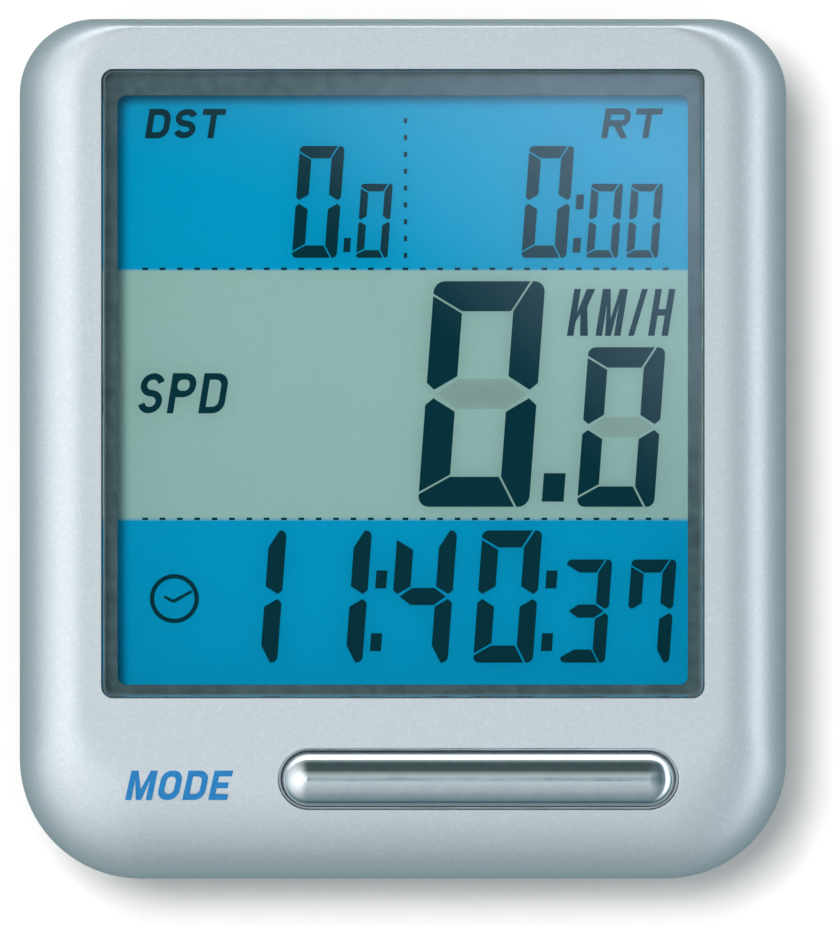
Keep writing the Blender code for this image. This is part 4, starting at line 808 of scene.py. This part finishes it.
# A point is its lower left corner, width and height.
points = [
    (8.08, -3.07, 1.27, 1.66), (-3.48, 11.45, 0.40, 0.83),
    (9.86, 11.42, 0.45, 0.87), (10.04, 13.94, 0.45, 0.87),
    (-1.93, -11.77, 0.65, 1.05), (-1.62, -8.12, 0.65, 1.05),
    (8.02, -11.77, 0.65, 1.05), (8.28, -8.12, 0.65, 1.05),
]
dark_outlines, ghost_outlines = [], []
for number, x, y, (width, height, stroke) in digits:
    gap = WIDE_GAP if stroke > WIDE_STROKE else NARROW_GAP
    for letter, shape in segments(width, height, stroke, gap).items():
        if letter in LIT[number]:
            dark_outlines.append(leaning(shape, x, y))
        elif y == SPEED_LINE:
            ghost_outlines.append(leaning(shape, x, y))
for x, y, width, height in points:
    dark_outlines.append(leaning([(0, 0), (width, 0), (width, height), (0, height)], x, y))
print(len(dark_outlines), "dark segments,", len(ghost_outlines), "faint ones")


CRYSTAL_SHINE = {"Roughness": 0.6, "Specular_IOR_Level": 0.0}
dark_crystal = thin_finish("dark_liquid_crystal", "04303A", "073540", 0.3 * MM, 3.0, Alpha=1.0,
                           **CRYSTAL_SHINE)
ghost_crystal = thin_finish("faint_liquid_crystal", "8E8A88", "949290", 0.3 * MM, 3.0, Alpha=0.07,
                            **CRYSTAL_SHINE)
ghosts = show("faint_segments", slab(ghost_outlines, INK_BOTTOM, INK_TOP), ghost_crystal)
ghosts.visible_shadow = False
fit(ghosts, "case")


# %% [markdown]
# ## Words and the clock mark
# The words beside the digits are single electrodes too, in a bold slanted sans that a display
# maker draws with one stroke width. Each letter is an outline worked out from its width, height
# and stroke, so that a squeezed word keeps the same stroke as a wide one.

# %% Letter shapes
# A letter takes its width, height and stroke: w, h and t.
BOWL_SWEEP, BOWL_START, BOWL_STEPS = math.radians(255), math.radians(15), 16
ROUNDNESS, THINNER = 0.45, 0.8


def stroked(path, stroke):
    """The outline of a line of this stroke width along a path of points."""
    sides = ([], [])
    for index, (x, y) in enumerate(path):
        before, after = path[max(index - 1, 0)], path[min(index + 1, len(path) - 1)]
        along = Vector((after[0] - before[0], after[1] - before[1])).normalized()
        for side, sign in zip(sides, (1, -1)):
            side.append((x - sign * along.y * stroke / 2, y + sign * along.x * stroke / 2))
    return sides[0] + sides[1][::-1]


def letter_s(w, h, t):
    """An S: a path round an upper and a lower bowl."""
    reach_x, reach_y = (w - t) / 2, (h - t) / 4
    path = []
    for step in range(BOWL_STEPS + 1):
        angle = BOWL_START + BOWL_SWEEP * step / BOWL_STEPS
        path.append((w / 2 + reach_x * math.cos(angle), h - t / 2 - reach_y + reach_y * math.sin(angle)))
    for step in range(1, BOWL_STEPS + 1):
        angle = math.pi / 2 - BOWL_SWEEP * step / BOWL_STEPS
        path.append((w / 2 + reach_x * math.cos(angle), t / 2 + reach_y + reach_y * math.sin(angle)))
    return [stroked(path, t)]


def letter_p(w, h, t, leg=False):
    """A P, or an R if it has a leg."""
    low, radius = 0.40 * h, 0.28 * h
    bowl = arc_corner((w, low), radius, 270) + arc_corner((w, h), radius, 0)
    foot = [(0.42 * w, low), (w - 1.15 * t, 0), (w, 0), (0.42 * w + 1.2 * t, low)] if leg else []
    hole = rounded_rectangle((t, w - t, low + t, h - t), radius - t, steps=4)
    return [[(0, 0), (t, 0), (t, low)] + foot + bowl + [(0, h)], hole]


def letter_r(w, h, t):
    """An R."""
    return letter_p(w, h, t, leg=True)


def letter_d(w, h, t):
    """A D: a straight back and two large corners."""
    outlines = []
    for inset, radius in ((0, ROUNDNESS * min(w, h)), (t, ROUNDNESS * min(w, h) - THINNER * t)):
        right, top = w - inset, h - inset
        outlines.append([(inset, inset)] + arc_corner((right, inset), radius, 270, 6)
                        + arc_corner((right, top), radius, 0, 6) + [(inset, top)])
    return outlines


def letter_o(w, h, t):
    """An O: a narrow ring."""
    return [rounded_rectangle((0, w, 0, h), ROUNDNESS * w, steps=8),
            rounded_rectangle((t, w - t, t, h - t), ROUNDNESS * w - THINNER * t, steps=8)]


def letter_e(w, h, t):
    """An E with a shorter middle arm."""
    arm, low, high = 0.9 * w, (h - t) / 2, (h + t) / 2
    return [[(0, 0), (w, 0), (w, t), (t, t), (t, low), (arm, low), (arm, high), (t, high), (t, h - t),
             (w, h - t), (w, h), (0, h)]]


def letter_h(w, h, t):
    """An H."""
    right, low, high = w - t, (h - t) / 2, (h + t) / 2
    return [[(0, 0), (t, 0), (t, low), (right, low), (right, 0), (w, 0), (w, h), (right, h),
             (right, high), (t, high), (t, h), (0, h)]]


def letter_k(w, h, t):
    """A K whose leg leaves the arm."""
    return [[(0, 0), (t, 0), (t, 0.30 * h), (t + 0.16 * w, 0.47 * h), (w - 1.2 * t, 0), (w, 0),
             (t + 0.44 * w, 0.62 * h), (w, h), (w - 1.3 * t, h), (t, 0.50 * h), (t, h), (0, h)]]


def letter_m(w, h, t):
    """An M whose middle reaches the base line."""
    middle, shoulder = w / 2, 0.68 * h
    return [[(0, 0), (t, 0), (t, shoulder), (middle - 0.45 * t, 0), (middle + 0.45 * t, 0),
             (w - t, shoulder), (w - t, 0), (w, 0), (w, h), (w - 1.2 * t, h), (middle, 0.36 * h),
             (1.2 * t, h), (0, h)]]


def letter_t(w, h, t):
    """A T."""
    left, right = (w - t) / 2, (w + t) / 2
    return [[(left, 0), (right, 0), (right, h - t), (w, h - t), (w, h), (0, h), (0, h - t), (left, h - t)]]


def slash(w, h, t):
    """A slanted stroke."""
    return [[(0, 0), (0.9 * t, 0), (w, h), (w - 0.9 * t, h)]]


LETTERS = {"D": letter_d, "E": letter_e, "H": letter_h, "K": letter_k, "M": letter_m, "O": letter_o,
           "P": letter_p, "R": letter_r, "S": letter_s, "T": letter_t, "/": slash}
LETTER_SHARES = {"M": 1.25, "/": 0.62, "E": 0.88, "S": 0.95, "K": 1.05}
LETTER_GAP = 0.16


def lettering(word, left, baseline, width, height, stroke, slant, bottom, top):
    """Slanted letters as a mesh that fills a width and a height, in mm."""
    gap = LETTER_GAP * height
    room = width - slant * height - gap * (len(word) - 1)
    unit = room / sum(LETTER_SHARES.get(letter, 1.0) for letter in word)
    meshes, x = [], left
    for letter in word:
        wide = unit * LETTER_SHARES.get(letter, 1.0)
        outlines = [[((x + px + slant * py) * MM, (baseline + py) * MM) for px, py in outline]
                    for outline in LETTERS[letter](wide, height, stroke)]
        meshes.append(slab(outlines, bottom, top))
        x += wide + gap
    return joined(meshes)


# %% Words
# A word is its letters, its lower left corner, width, height and stroke in mm.
WORD_SLANT = 0.16
words = [("DST", -15.02, 18.07, 4.75, 1.72, 0.36), ("RT", 11.53, 18.07, 3.62, 1.75, 0.36),
         ("SPD", -15.52, 2.07, 5.44, 2.34, 0.38), ("KM/H", 9.54, 6.58, 6.32, 2.73, 0.38)]
word_meshes = [lettering(*word, WORD_SLANT, INK_BOTTOM, INK_TOP) for word in words]

# %% Clock mark
# A ring with two hands that taper a little from the pivot, which sits low in the ring.
CLOCK = (-13.30 * MM, -8.71 * MM)
CLOCK_PIVOT = Vector((CLOCK[0] - 0.06 * MM, CLOCK[1] - 0.17 * MM))
CLOCK_RADIUS, CLOCK_RING = 1.43 * MM, 0.26 * MM
HAND_TAPER = 0.7


def hand(angle, length, width):
    """A clock hand from the pivot, at an angle in degrees."""
    turn = math.radians(angle)
    along = Vector((math.cos(turn), math.sin(turn)))
    across = Vector((-along.y, along.x)) * width / 2
    end = CLOCK_PIVOT + along * length
    corners = (CLOCK_PIVOT - across, end - HAND_TAPER * across,
               end + HAND_TAPER * across, CLOCK_PIVOT + across)
    return [tuple(corner) for corner in corners]


clock_parts = [[hand(29, 1.25 * MM, 0.22 * MM)], [hand(151, 0.62 * MM, 0.20 * MM)],
               [circle(CLOCK_RADIUS, CLOCK), circle(CLOCK_RADIUS - CLOCK_RING, CLOCK)]]
clock_meshes = [slab(outlines, INK_BOTTOM, INK_TOP) for outlines in clock_parts]
segment_mesh = joined([slab(dark_outlines, INK_BOTTOM, INK_TOP)] + word_meshes + clock_meshes)
dark_segments = show("dark_segments", segment_mesh, dark_crystal)
dark_segments.visible_shadow = False
fit(dark_segments, "case")


# %% [markdown]
# ## Divider dashes
# Three rows of small dashes divide the display. A row repeats one dash at a fixed pitch, which is
# what Geometry Nodes do well: a line of points, a small block on each point, made real at the end.

# %% Divider dashes
def node_group(name, inputs):
    """A Geometry Nodes tree with named inputs (name, socket type, default), and its two ends."""
    tree = bpy.data.node_groups.new(name, "GeometryNodeTree")
    tree.interface.new_socket("Geometry", in_out="INPUT", socket_type="NodeSocketGeometry")
    for label, kind, default in inputs:
        socket = tree.interface.new_socket(label, in_out="INPUT", socket_type=kind)
        if default is not None:
            socket.default_value = default
    tree.interface.new_socket("Geometry", in_out="OUTPUT", socket_type="NodeSocketGeometry")
    return tree, add(tree, "NodeGroupInput").outputs, add(tree, "NodeGroupOutput").inputs


def end_group(tree, laid, sizes, result):
    """Close a tree: make its instances real and give them the finish."""
    real = add(tree, "GeometryNodeRealizeInstances", links={"Geometry": laid})
    coated = add(tree, "GeometryNodeSetMaterial",
                 links={"Geometry": real.outputs["Geometry"], "Material": sizes["Finish"]})
    tree.links.new(coated.outputs["Geometry"], result["Geometry"])


def grow_nodes(name, tree, values, mesh=None):
    """Run a tree on a new object with these input values and keep the plain mesh."""
    made = show(name, mesh or bpy.data.meshes.new(name))
    modifier = made.modifiers.new(tree.name, "NODES")
    modifier.node_group = tree
    for item in tree.interface.items_tree:
        if item.item_type == "SOCKET" and item.in_out == "INPUT" and item.name in values:
            modifier[item.identifier] = values[item.name]
    settle(made)
    made.data.materials.clear()
    made.data.materials.append(values["Finish"])
    return made


dash_row, sizes, result = node_group("dash_row", [
    ("Count", "NodeSocketInt", 31), ("Start", "NodeSocketVector", None), ("Step", "NodeSocketVector", None),
    ("Dash", "NodeSocketVector", None), ("Finish", "NodeSocketMaterial", None)])
row = add(dash_row, "GeometryNodeMeshLine",
          links={"Count": sizes["Count"], "Start Location": sizes["Start"], "Offset": sizes["Step"]})
dash = add(dash_row, "GeometryNodeMeshCube", links={"Size": sizes["Dash"]})
laid = add(dash_row, "GeometryNodeInstanceOnPoints",
           links={"Points": row.outputs["Mesh"], "Instance": dash.outputs["Mesh"]})
end_group(dash_row, laid.outputs["Instances"], sizes, result)

INK_MIDDLE, INK_THICK = (INK_BOTTOM + INK_TOP) / 2, INK_TOP - INK_BOTTOM
# A row is its name, how many dashes it has, its start, its step and the dash's size, in mm.
rows = [
    ("upper_divider", 31, (-15.0, 10.48), (1.01, 0.0), (0.33, 0.15)),
    ("lower_divider", 31, (-15.0, -4.07), (1.01, 0.0), (0.33, 0.15)),
    ("upright_divider", 9, (0.15, 19.1), (0.0, -0.98), (0.20, 0.30)),
]
for name, count, start, step, size in rows:
    divider = grow_nodes(name, dash_row, {
        "Count": count, "Start": (start[0] * MM, start[1] * MM, INK_MIDDLE),
        "Step": (step[0] * MM, step[1] * MM, 0.0), "Dash": (size[0] * MM, size[1] * MM, INK_THICK),
        "Finish": dark_crystal})
    divider.visible_shadow = False
    fit(divider, "case")


# %% [markdown]
# ## Chrome bar
# The key is an ABS bar plated with copper, nickel and chromium. Plating is a mirror of a faintly
# blue grey. Its crown is a soft ellipse across, so it shows each strip light as one line along the
# bar. A very slow wave in the surface keeps those lines from looking ruled. A narrow flat runs
# along the crest with edges of its own, so that the shading isn't pulled flat beside it.

# %% Chrome bar
chrome, tree, place = start_finish("bright_chrome_plating")
ripple = bump(tree, noise(tree, place, 2.5 * MM, 1.0), 0.008 * MM)
wear = noise(tree, place, 0.6 * MM, 5.0)
metal, shine = tones(tree, wear, (0.2, "E0E4E6"), (0.8, "ECEFF0")), between(tree, wear, 0.05, 0.12)
end_finish(tree, {"Metallic": 1.0}, {"Base Color": metal, "Roughness": shine, "Normal": ripple})

low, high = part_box("mode_button")
FLANGE_THICK, BAR_CROWN = 0.65 * MM, 1.1 * MM
CROWN_SWEEP, CROWN_STEPS, END_STEPS = math.radians(86), 22, 24
reach = 2 * BUTTON_FLANGE
flange = stadium(BAR_LENGTH + reach, BAR_WIDTH + reach, BAR_CENTRE, END_STEPS)
shank = stadium(BAR_LENGTH, BAR_WIDTH, BAR_CENTRE, END_STEPS)
rings = [(flange, low[2]), (flange, low[2] + FLANGE_THICK), (shank, low[2] + FLANGE_THICK)]
for step in range(CROWN_STEPS + 1):
    angle = CROWN_SWEEP * step / CROWN_STEPS
    drawn_in = BAR_WIDTH * (1 - math.cos(angle))
    crown = high[2] - BAR_CROWN + BAR_CROWN * math.sin(angle) / math.sin(CROWN_SWEEP)
    rings.append((stadium(BAR_LENGTH - drawn_in, BAR_WIDTH - drawn_in, BAR_CENTRE, END_STEPS), crown))
bar = show("mode_bar", loft(rings), chrome)
bar.data.shade_smooth()
bar.data.set_sharp_from_angle(angle=SMOOTH_LIMIT)
crest = high[2] - 0.001 * MM
for edge in bar.data.edges:
    if min(bar.data.vertices[corner].co.z for corner in edge.vertices) > crest:
        edge.use_edge_sharp = True
fit(bar, "button", ["mode_button"])


# %% [markdown]
# ## Printed mark
# A blue word is pad-printed on the paint beside the key. The ink film is about 0.01 mm thick. The
# word here is a plain one that says what the key does.

# %% Printed mark
blue_ink, tree, place = start_finish("pad_printed_blue_ink")
ink = tones(tree, noise(tree, place, 0.15 * MM, 2.0), (0.3, "1670B0"), (0.7, "2381C0"))
end_finish(tree, {"Roughness": 0.45}, {"Base Color": ink})
INK_FILM = 0.012 * MM
MARK_SLANT = 0.22
mark_mesh = lettering("MODE", -16.06, -20.30, 6.26, 1.70, 0.34, MARK_SLANT,
                      CROWN - INK_FILM, CROWN + INK_FILM)
mark = show("mode_mark", mark_mesh, blue_ink)
fit(mark, "case")


# %% [markdown]
# ## Rear cover
# The rear cover is a plain grey ABS moulding with a spark-eroded texture, as the side that nobody
# looks at usually is. Its shape in the frame is right, with the battery seat, the rails and the
# screw posts, so a welded copy of that mesh is used, and only its edges are rounded.

# %% Rear cover
grey_abs = textured_finish("moulded_grey_abs", "6C757B", "626B71", 1.5 * MM, 0.14 * MM, 0.015 * MM, 0.55)
FLAT_LIMIT = math.radians(1)


def fine_copy(node, name, finish, width):
    """A welded copy of a CAD node with rounded edges."""
    mesh = weld(nodes[node].data.copy())
    bm = bmesh.new()
    bm.from_mesh(mesh)
    bmesh.ops.dissolve_limit(bm, angle_limit=FLAT_LIMIT, verts=bm.verts, edges=bm.edges)
    return round_edges(show(name, as_mesh(bm, mesh), finish), width, 2)


rear = fine_copy("rear_cover", "rear_case", grey_abs, 0.10 * MM)
fit(rear, "case", ["rear_cover"])

# %% Marks for open and closed
# A ring means open and a full dot closed. The door's arrow points at one of them.
REAR_FACE = 2.2 * MM
MARK_RISE = 0.12 * MM
MARK_AWAY = 14.0 * MM


def door_point(radius, angle):
    """A point round the battery, at a radius and an angle in degrees."""
    turn = math.radians(angle)
    return (BATTERY_CENTRE[0] + radius * math.cos(turn), BATTERY_CENTRE[1] + radius * math.sin(turn))


closed_spot, open_spot = door_point(MARK_AWAY, 90), door_point(MARK_AWAY, 40)
mark_heights = (REAR_FACE - MARK_RISE, REAR_FACE + 0.02 * MM)
marks = joined([slab([circle(0.55 * MM, closed_spot, 32)], *mark_heights),
                slab([circle(0.65 * MM, open_spot, 32), circle(0.42 * MM, open_spot, 32)], *mark_heights)])
door_marks = show("door_marks", marks, grey_abs)
round_edges(door_marks, 0.03 * MM, 2)
fit(door_marks, "case")


# %% [markdown]
# ## Battery door
# The door is a turned shape with three lugs and a slot for a coin. Fine ribs round its face give a
# fingertip some grip. Geometry Nodes set them out round a circle: one rounded block on each point,
# turned to face the middle.

# %% Ribs round the door
rib_ring, sizes, result = node_group("rib_ring", [
    ("Count", "NodeSocketInt", 48), ("Radius", "NodeSocketFloat", 0.01), ("Rib", "NodeSocketVector", None),
    ("Centre", "NodeSocketVector", None), ("Finish", "NodeSocketMaterial", None)])
ring = add(rib_ring, "GeometryNodeMeshCircle", links={"Vertices": sizes["Count"], "Radius": sizes["Radius"]})
spot = add(rib_ring, "GeometryNodeInputPosition").outputs["Position"]
facing = add(rib_ring, "FunctionNodeAlignRotationToVector", links={"Vector": spot}, axis="X")
rib = add(rib_ring, "GeometryNodeMeshCube", {"Vertices X": 3, "Vertices Y": 3, "Vertices Z": 3},
          {"Size": sizes["Rib"]})
laid = add(rib_ring, "GeometryNodeInstanceOnPoints",
           links={"Points": ring.outputs["Mesh"], "Instance": rib.outputs["Mesh"],
                  "Rotation": facing.outputs["Rotation"]})
moved = add(rib_ring, "GeometryNodeTransform",
            links={"Geometry": laid.outputs["Instances"], "Translation": sizes["Centre"]})
end_group(rib_ring, moved.outputs["Geometry"], sizes, result)

door_abs = textured_finish("moulded_door_abs", "596268", "50595F", 1.5 * MM, 0.12 * MM, 0.012 * MM, 0.5)
DOOR_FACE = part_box("battery_cover")[0][2]
ribs = grow_nodes("door_ribs", rib_ring, {
    "Count": 60, "Radius": 10.9 * MM, "Rib": (1.5 * MM, 0.35 * MM, 0.24 * MM),
    "Centre": (*BATTERY_CENTRE, DOOR_FACE), "Finish": door_abs})
round_edges(ribs, 0.07 * MM, 2)
fit(ribs, "battery_door")


# %% Door
def sector(inside, outside, middle, spread, steps=8):
    """Points round a piece of a ring about the battery, its angles in degrees."""
    angles = [middle - spread / 2 + spread * step / steps for step in range(steps + 1)]
    return [door_point(outside, a) for a in angles] + [door_point(inside, a) for a in reversed(angles)]


DOOR_RADIUS, DOOR_WALL_INSIDE, DOOR_WALL_OUTSIDE, LUG_RADIUS = 12.3 * MM, 10.25 * MM, 10.8 * MM, 11.7 * MM
DOOR_FLANGE_TOP, DOOR_PLATE_TOP, LUG_BOTTOM, LUG_TOP = 2.5 * MM, 2.9 * MM, 4.26 * MM, 4.96 * MM
ROUND = 0.3 * MM
profile = [(0.0, DOOR_PLATE_TOP), (DOOR_WALL_INSIDE, DOOR_PLATE_TOP), (DOOR_WALL_INSIDE, LUG_TOP + 0.05 * MM),
           (DOOR_WALL_OUTSIDE, LUG_TOP + 0.05 * MM), (DOOR_WALL_OUTSIDE, DOOR_FLANGE_TOP),
           (DOOR_RADIUS, DOOR_FLANGE_TOP)]
for angle in quarter_turn(5):
    profile.append((DOOR_RADIUS - ROUND * (1 - math.cos(angle)), DOOR_FACE + ROUND * (1 - math.sin(angle))))
profile += [(9.9 * MM, DOOR_FACE), (9.75 * MM, DOOR_FACE + 0.12 * MM), (9.5 * MM, DOOR_FACE + 0.12 * MM),
            (9.35 * MM, DOOR_FACE), (0.0, DOOR_FACE)]
door = show("battery_door_cap", turned(profile, BATTERY_CENTRE), door_abs)
for lug in range(3):
    shape = sector(DOOR_WALL_INSIDE + 0.27 * MM, LUG_RADIUS, 90 + 120 * lug, 24)
    combine(door, slab([shape], LUG_BOTTOM, LUG_TOP), "UNION")
coin_slot = stadium(14.0 * MM, 1.8 * MM, BATTERY_CENTRE)
combine(door, slab([coin_slot], 0.0, DOOR_FACE + 0.6 * MM))
arrow = [door_point(8.6 * MM, 90), door_point(7.3 * MM, 97), door_point(7.3 * MM, 83)]
combine(door, slab([arrow], 0.0, DOOR_FACE + 0.15 * MM))
round_edges(door, 0.06 * MM, 2)
fit(door, "battery_door", ["battery_cover"])


# %% [markdown]
# ## Screws and studs
# Four screws close the case and four smaller ones hold the display tray. One screw of each kind
# is turned and given its cross slot, and a Geometry Nodes tree sets four of it on the corners of a
# rectangle. The two contact studs are turned brass with a gold flash, worn a little in the middle.

# %% One screw
zinc_steel = textured_finish("zinc_plated_steel", "C6CACC", "A9AEB2", 0.5 * MM, 0.08 * MM, 0.002 * MM, 0.3,
                             Metallic=1.0)
SLOT_LENGTH_SHARE, SLOT_WIDTH, SLOT_DEPTH = 1.45, 0.35 * MM, 0.4 * MM
THREAD_PITCH, CORE_SHARE, EDGE_SHARE = 0.5 * MM, 0.8, 0.35


def one_screw(bottom, top, head_radius, head_depth, shank_radius):
    """A cross-slotted screw at the origin, its head at the bottom and its thread as ridges."""
    core, head_top, edge_depth = CORE_SHARE * shank_radius, bottom + head_depth, EDGE_SHARE * head_depth
    height = top - THREAD_PITCH
    profile = [(0.0, top), (0.35 * shank_radius, top), (core, height)]
    while height - THREAD_PITCH > head_top:
        profile += [(shank_radius, height - 0.3 * THREAD_PITCH), (core, height - 0.6 * THREAD_PITCH),
                    (core, height - THREAD_PITCH)]
        height -= THREAD_PITCH
    profile += [(shank_radius, head_top), (head_radius, head_top), (head_radius, bottom + edge_depth)]
    for angle in quarter_turn(5)[1:]:
        profile.append((head_radius * (0.75 + 0.25 * math.cos(angle)),
                        bottom + edge_depth * (1 - math.sin(angle))))
    profile.append((0.0, bottom))
    made = show("screw", turned(profile, steps=32), zinc_steel)
    half = SLOT_LENGTH_SHARE * head_radius / 2
    for long_x, long_y in ((half, SLOT_WIDTH / 2), (SLOT_WIDTH / 2, half)):
        combine(made, block(-long_x, long_x, -long_y, long_y, bottom - OVERSHOOT, bottom + SLOT_DEPTH))
    mesh = made.data
    bpy.data.objects.remove(made, do_unlink=True)
    return mesh


# %% Sets of four
screw_set, sizes, result = node_group("screw_set", [
    ("Width", "NodeSocketFloat", 0.03), ("Height", "NodeSocketFloat", 0.03),
    ("Centre", "NodeSocketVector", None), ("Finish", "NodeSocketMaterial", None)])
corners = add(screw_set, "GeometryNodeMeshGrid", {"Vertices X": 2, "Vertices Y": 2},
              {"Size X": sizes["Width"], "Size Y": sizes["Height"]})
moved = add(screw_set, "GeometryNodeTransform",
            links={"Geometry": corners.outputs["Mesh"], "Translation": sizes["Centre"]})
laid = add(screw_set, "GeometryNodeInstanceOnPoints",
           links={"Points": moved.outputs["Geometry"], "Instance": sizes["Geometry"]})
end_group(screw_set, laid.outputs["Instances"], sizes, result)

# A kind of screw is its name, its nodes' name, head radius, head depth, shank radius and places.
kinds = [("case_screws", "case_screw_", 1.3 * MM, 0.9 * MM, 0.7 * MM,
          (CASE_SCREW_X, CASE_SCREW_LOW, CASE_SCREW_HIGH)),
         ("board_screws", "board_screw_", 1.0 * MM, 0.65 * MM, 0.5 * MM,
          (15.3 * MM, -10.9 * MM, 20.3 * MM))]
for name, node, head_radius, head_depth, shank_radius, (half_width, low_y, high_y) in kinds:
    low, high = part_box(node + "1")
    screws = grow_nodes(name, screw_set, {
        "Width": 2 * half_width, "Height": high_y - low_y, "Centre": (0.0, (low_y + high_y) / 2, 0.0),
        "Finish": zinc_steel}, one_screw(low[2], high[2], head_radius, head_depth, shank_radius))
    round_edges(screws, 0.0)
    fit(screws, "case", [node + str(number) for number in range(1, 5)])

# %% Contact studs
gold = textured_finish("gold_flashed_brass", "F0CF86", "D9B263", 0.6 * MM, 0.1 * MM, 0.002 * MM, 0.25,
                       Metallic=1.0)
STUD_SHANK, STUD_FLAT, STUD_ROUND, STUD_HEAD = 1.0 * MM, 1.35 * MM, 0.25 * MM, 0.6 * MM
studs = []
for node in ("contact_stud_left", "contact_stud_right"):
    low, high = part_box(node)
    profile = [(0.0, high[2]), (STUD_SHANK, high[2]), (STUD_SHANK, low[2] + STUD_HEAD),
               (STUD_FLAT + STUD_ROUND, low[2] + STUD_HEAD)]
    for angle in quarter_turn(5):
        profile.append((STUD_FLAT + STUD_ROUND * math.cos(angle),
                        low[2] + STUD_ROUND * (1 - math.sin(angle))))
    profile += [(STUD_SHANK, low[2]), (0.9 * MM, low[2] + 0.06 * MM), (0.0, low[2] + 0.02 * MM)]
    studs.append(turned(profile, centre_of(flat_box(node)), 48))
contact_studs = show("contact_studs", joined(studs), gold)
round_edges(contact_studs, 0.0)
fit(contact_studs, "case", ["contact_stud_left", "contact_stud_right"])


# %% [markdown]
# ## Inner parts
# The parts inside keep the frame's shapes, because only a maker who opens the unit sees them. Each
# still gets the finish of the real material: its two tones, the size of its blotches and pores,
# and its gloss.

# %% Inner finishes
finishes = [
    # name, light, dark, blotch mm, pit mm, pit depth mm, roughness, other values, nodes
    ("acrylic_foam_tape", "3A3D40", "2C2F31", 0.6, 0.15, 0.02, 0.8, {}, ["window_tape"]),
    ("aluminised_reflector_film", "D8DCDD", "C3C8CA", 0.5, 0.1, 0.004, 0.4, {"Metallic": 0.9},
     ["reflector_film"]),
    ("white_polystyrene", "E4E6E2", "D6D9D4", 2.0, 0.2, 0.01, 0.5, {}, ["lcd_tray"]),
    ("phosphor_bronze_spring", "D9B98C", "B8925F", 0.6, 0.08, 0.002, 0.3, {"Metallic": 1.0},
     ["contact_spring_left", "contact_spring_right"]),
    ("black_epoxy_blob", "1C1D1F", "121315", 0.9, 0.25, 0.02, 0.35, {}, ["controller_chip"]),
    ("tinned_crystal_can", "D3D5D6", "B5B9BC", 0.5, 0.1, 0.002, 0.25, {"Metallic": 1.0}, ["quartz_crystal"]),
    ("tan_ceramic", "B59A78", "9C8060", 0.3, 0.05, 0.003, 0.5, {}, ["chip_capacitor_1", "chip_capacitor_2"]),
    ("milky_silicone", "C9CDCC", "B7BCBB", 1.5, 0.2, 0.005, 0.45, {"Subsurface_Weight": 0.1},
     ["button_membrane"]),
    ("polished_dome_steel", "CFD2D4", "B9BDC0", 0.5, 0.06, 0.001, 0.2, {"Metallic": 1.0}, ["switch_dome"]),
    ("drawn_cell_steel", "D2D4D5", "B4B8BB", 1.2, 0.1, 0.002, 0.22, {"Metallic": 1.0}, ["battery"]),
    ("sprung_contact_steel", "C4C8CA", "A6ABAF", 0.8, 0.08, 0.002, 0.28, {"Metallic": 1.0},
     ["battery_contact_negative", "battery_contact_positive"]),
    ("black_nitrile_rubber", "26282A", "191B1C", 0.7, 0.1, 0.01, 0.7, {},
     ["case_seal", "battery_cover_seal"]),
]
for name, light_tone, dark_tone, blotch, pit, depth, rough, values, parts in finishes:
    finish = textured_finish(name, light_tone, dark_tone, blotch * MM, pit * MM, depth * MM, rough, **values)
    dress(finish, *parts)

# %% Circuit board and rubber connector
# The board's green mask shows copper tracks under it. The connector is layers of carbon rubber
# and plain rubber, 0.1 mm apart.
green_board, tree, place = start_finish("green_masked_laminate")
tracks = add(tree, "ShaderNodeTexVoronoi", {"Scale": 1 / (2.2 * MM), "Randomness": 0.6}, {"Vector": place},
             feature="DISTANCE_TO_EDGE", distance="EUCLIDEAN")
mask = tones(tree, tracks.outputs["Distance"], (0.0, "3E8A54"), (0.06, "3E8A54"), (0.09, "1F5E38"),
             (1.0, "1B5332"))
step_up = bump(tree, mask, 0.02 * MM, Strength=0.6)
end_finish(tree, {"Roughness": 0.35}, {"Base Color": mask, "Normal": step_up})
dress(green_board, "circuit_board")

layered_rubber, tree, place = start_finish("layered_connector_rubber")
layers = add(tree, "ShaderNodeTexWave", {"Scale": 1 / (2 * math.pi * 0.1 * MM)}, {"Vector": place},
             wave_type="BANDS", bands_direction="X")
stripe = tones(tree, layers.outputs["Fac"], (0.45, "1B1C1D"), (0.55, "C9B8A8"))
end_finish(tree, {"Roughness": 0.7}, {"Base Color": stripe})
dress(layered_rubber, "zebra_strip")
still_shown = [node for node in nodes.values() if not node.hide_render]
plain = [node.name for node in still_shown if not node.data.materials]
print("frame nodes still shown:", len(still_shown), "without a finish:", plain)
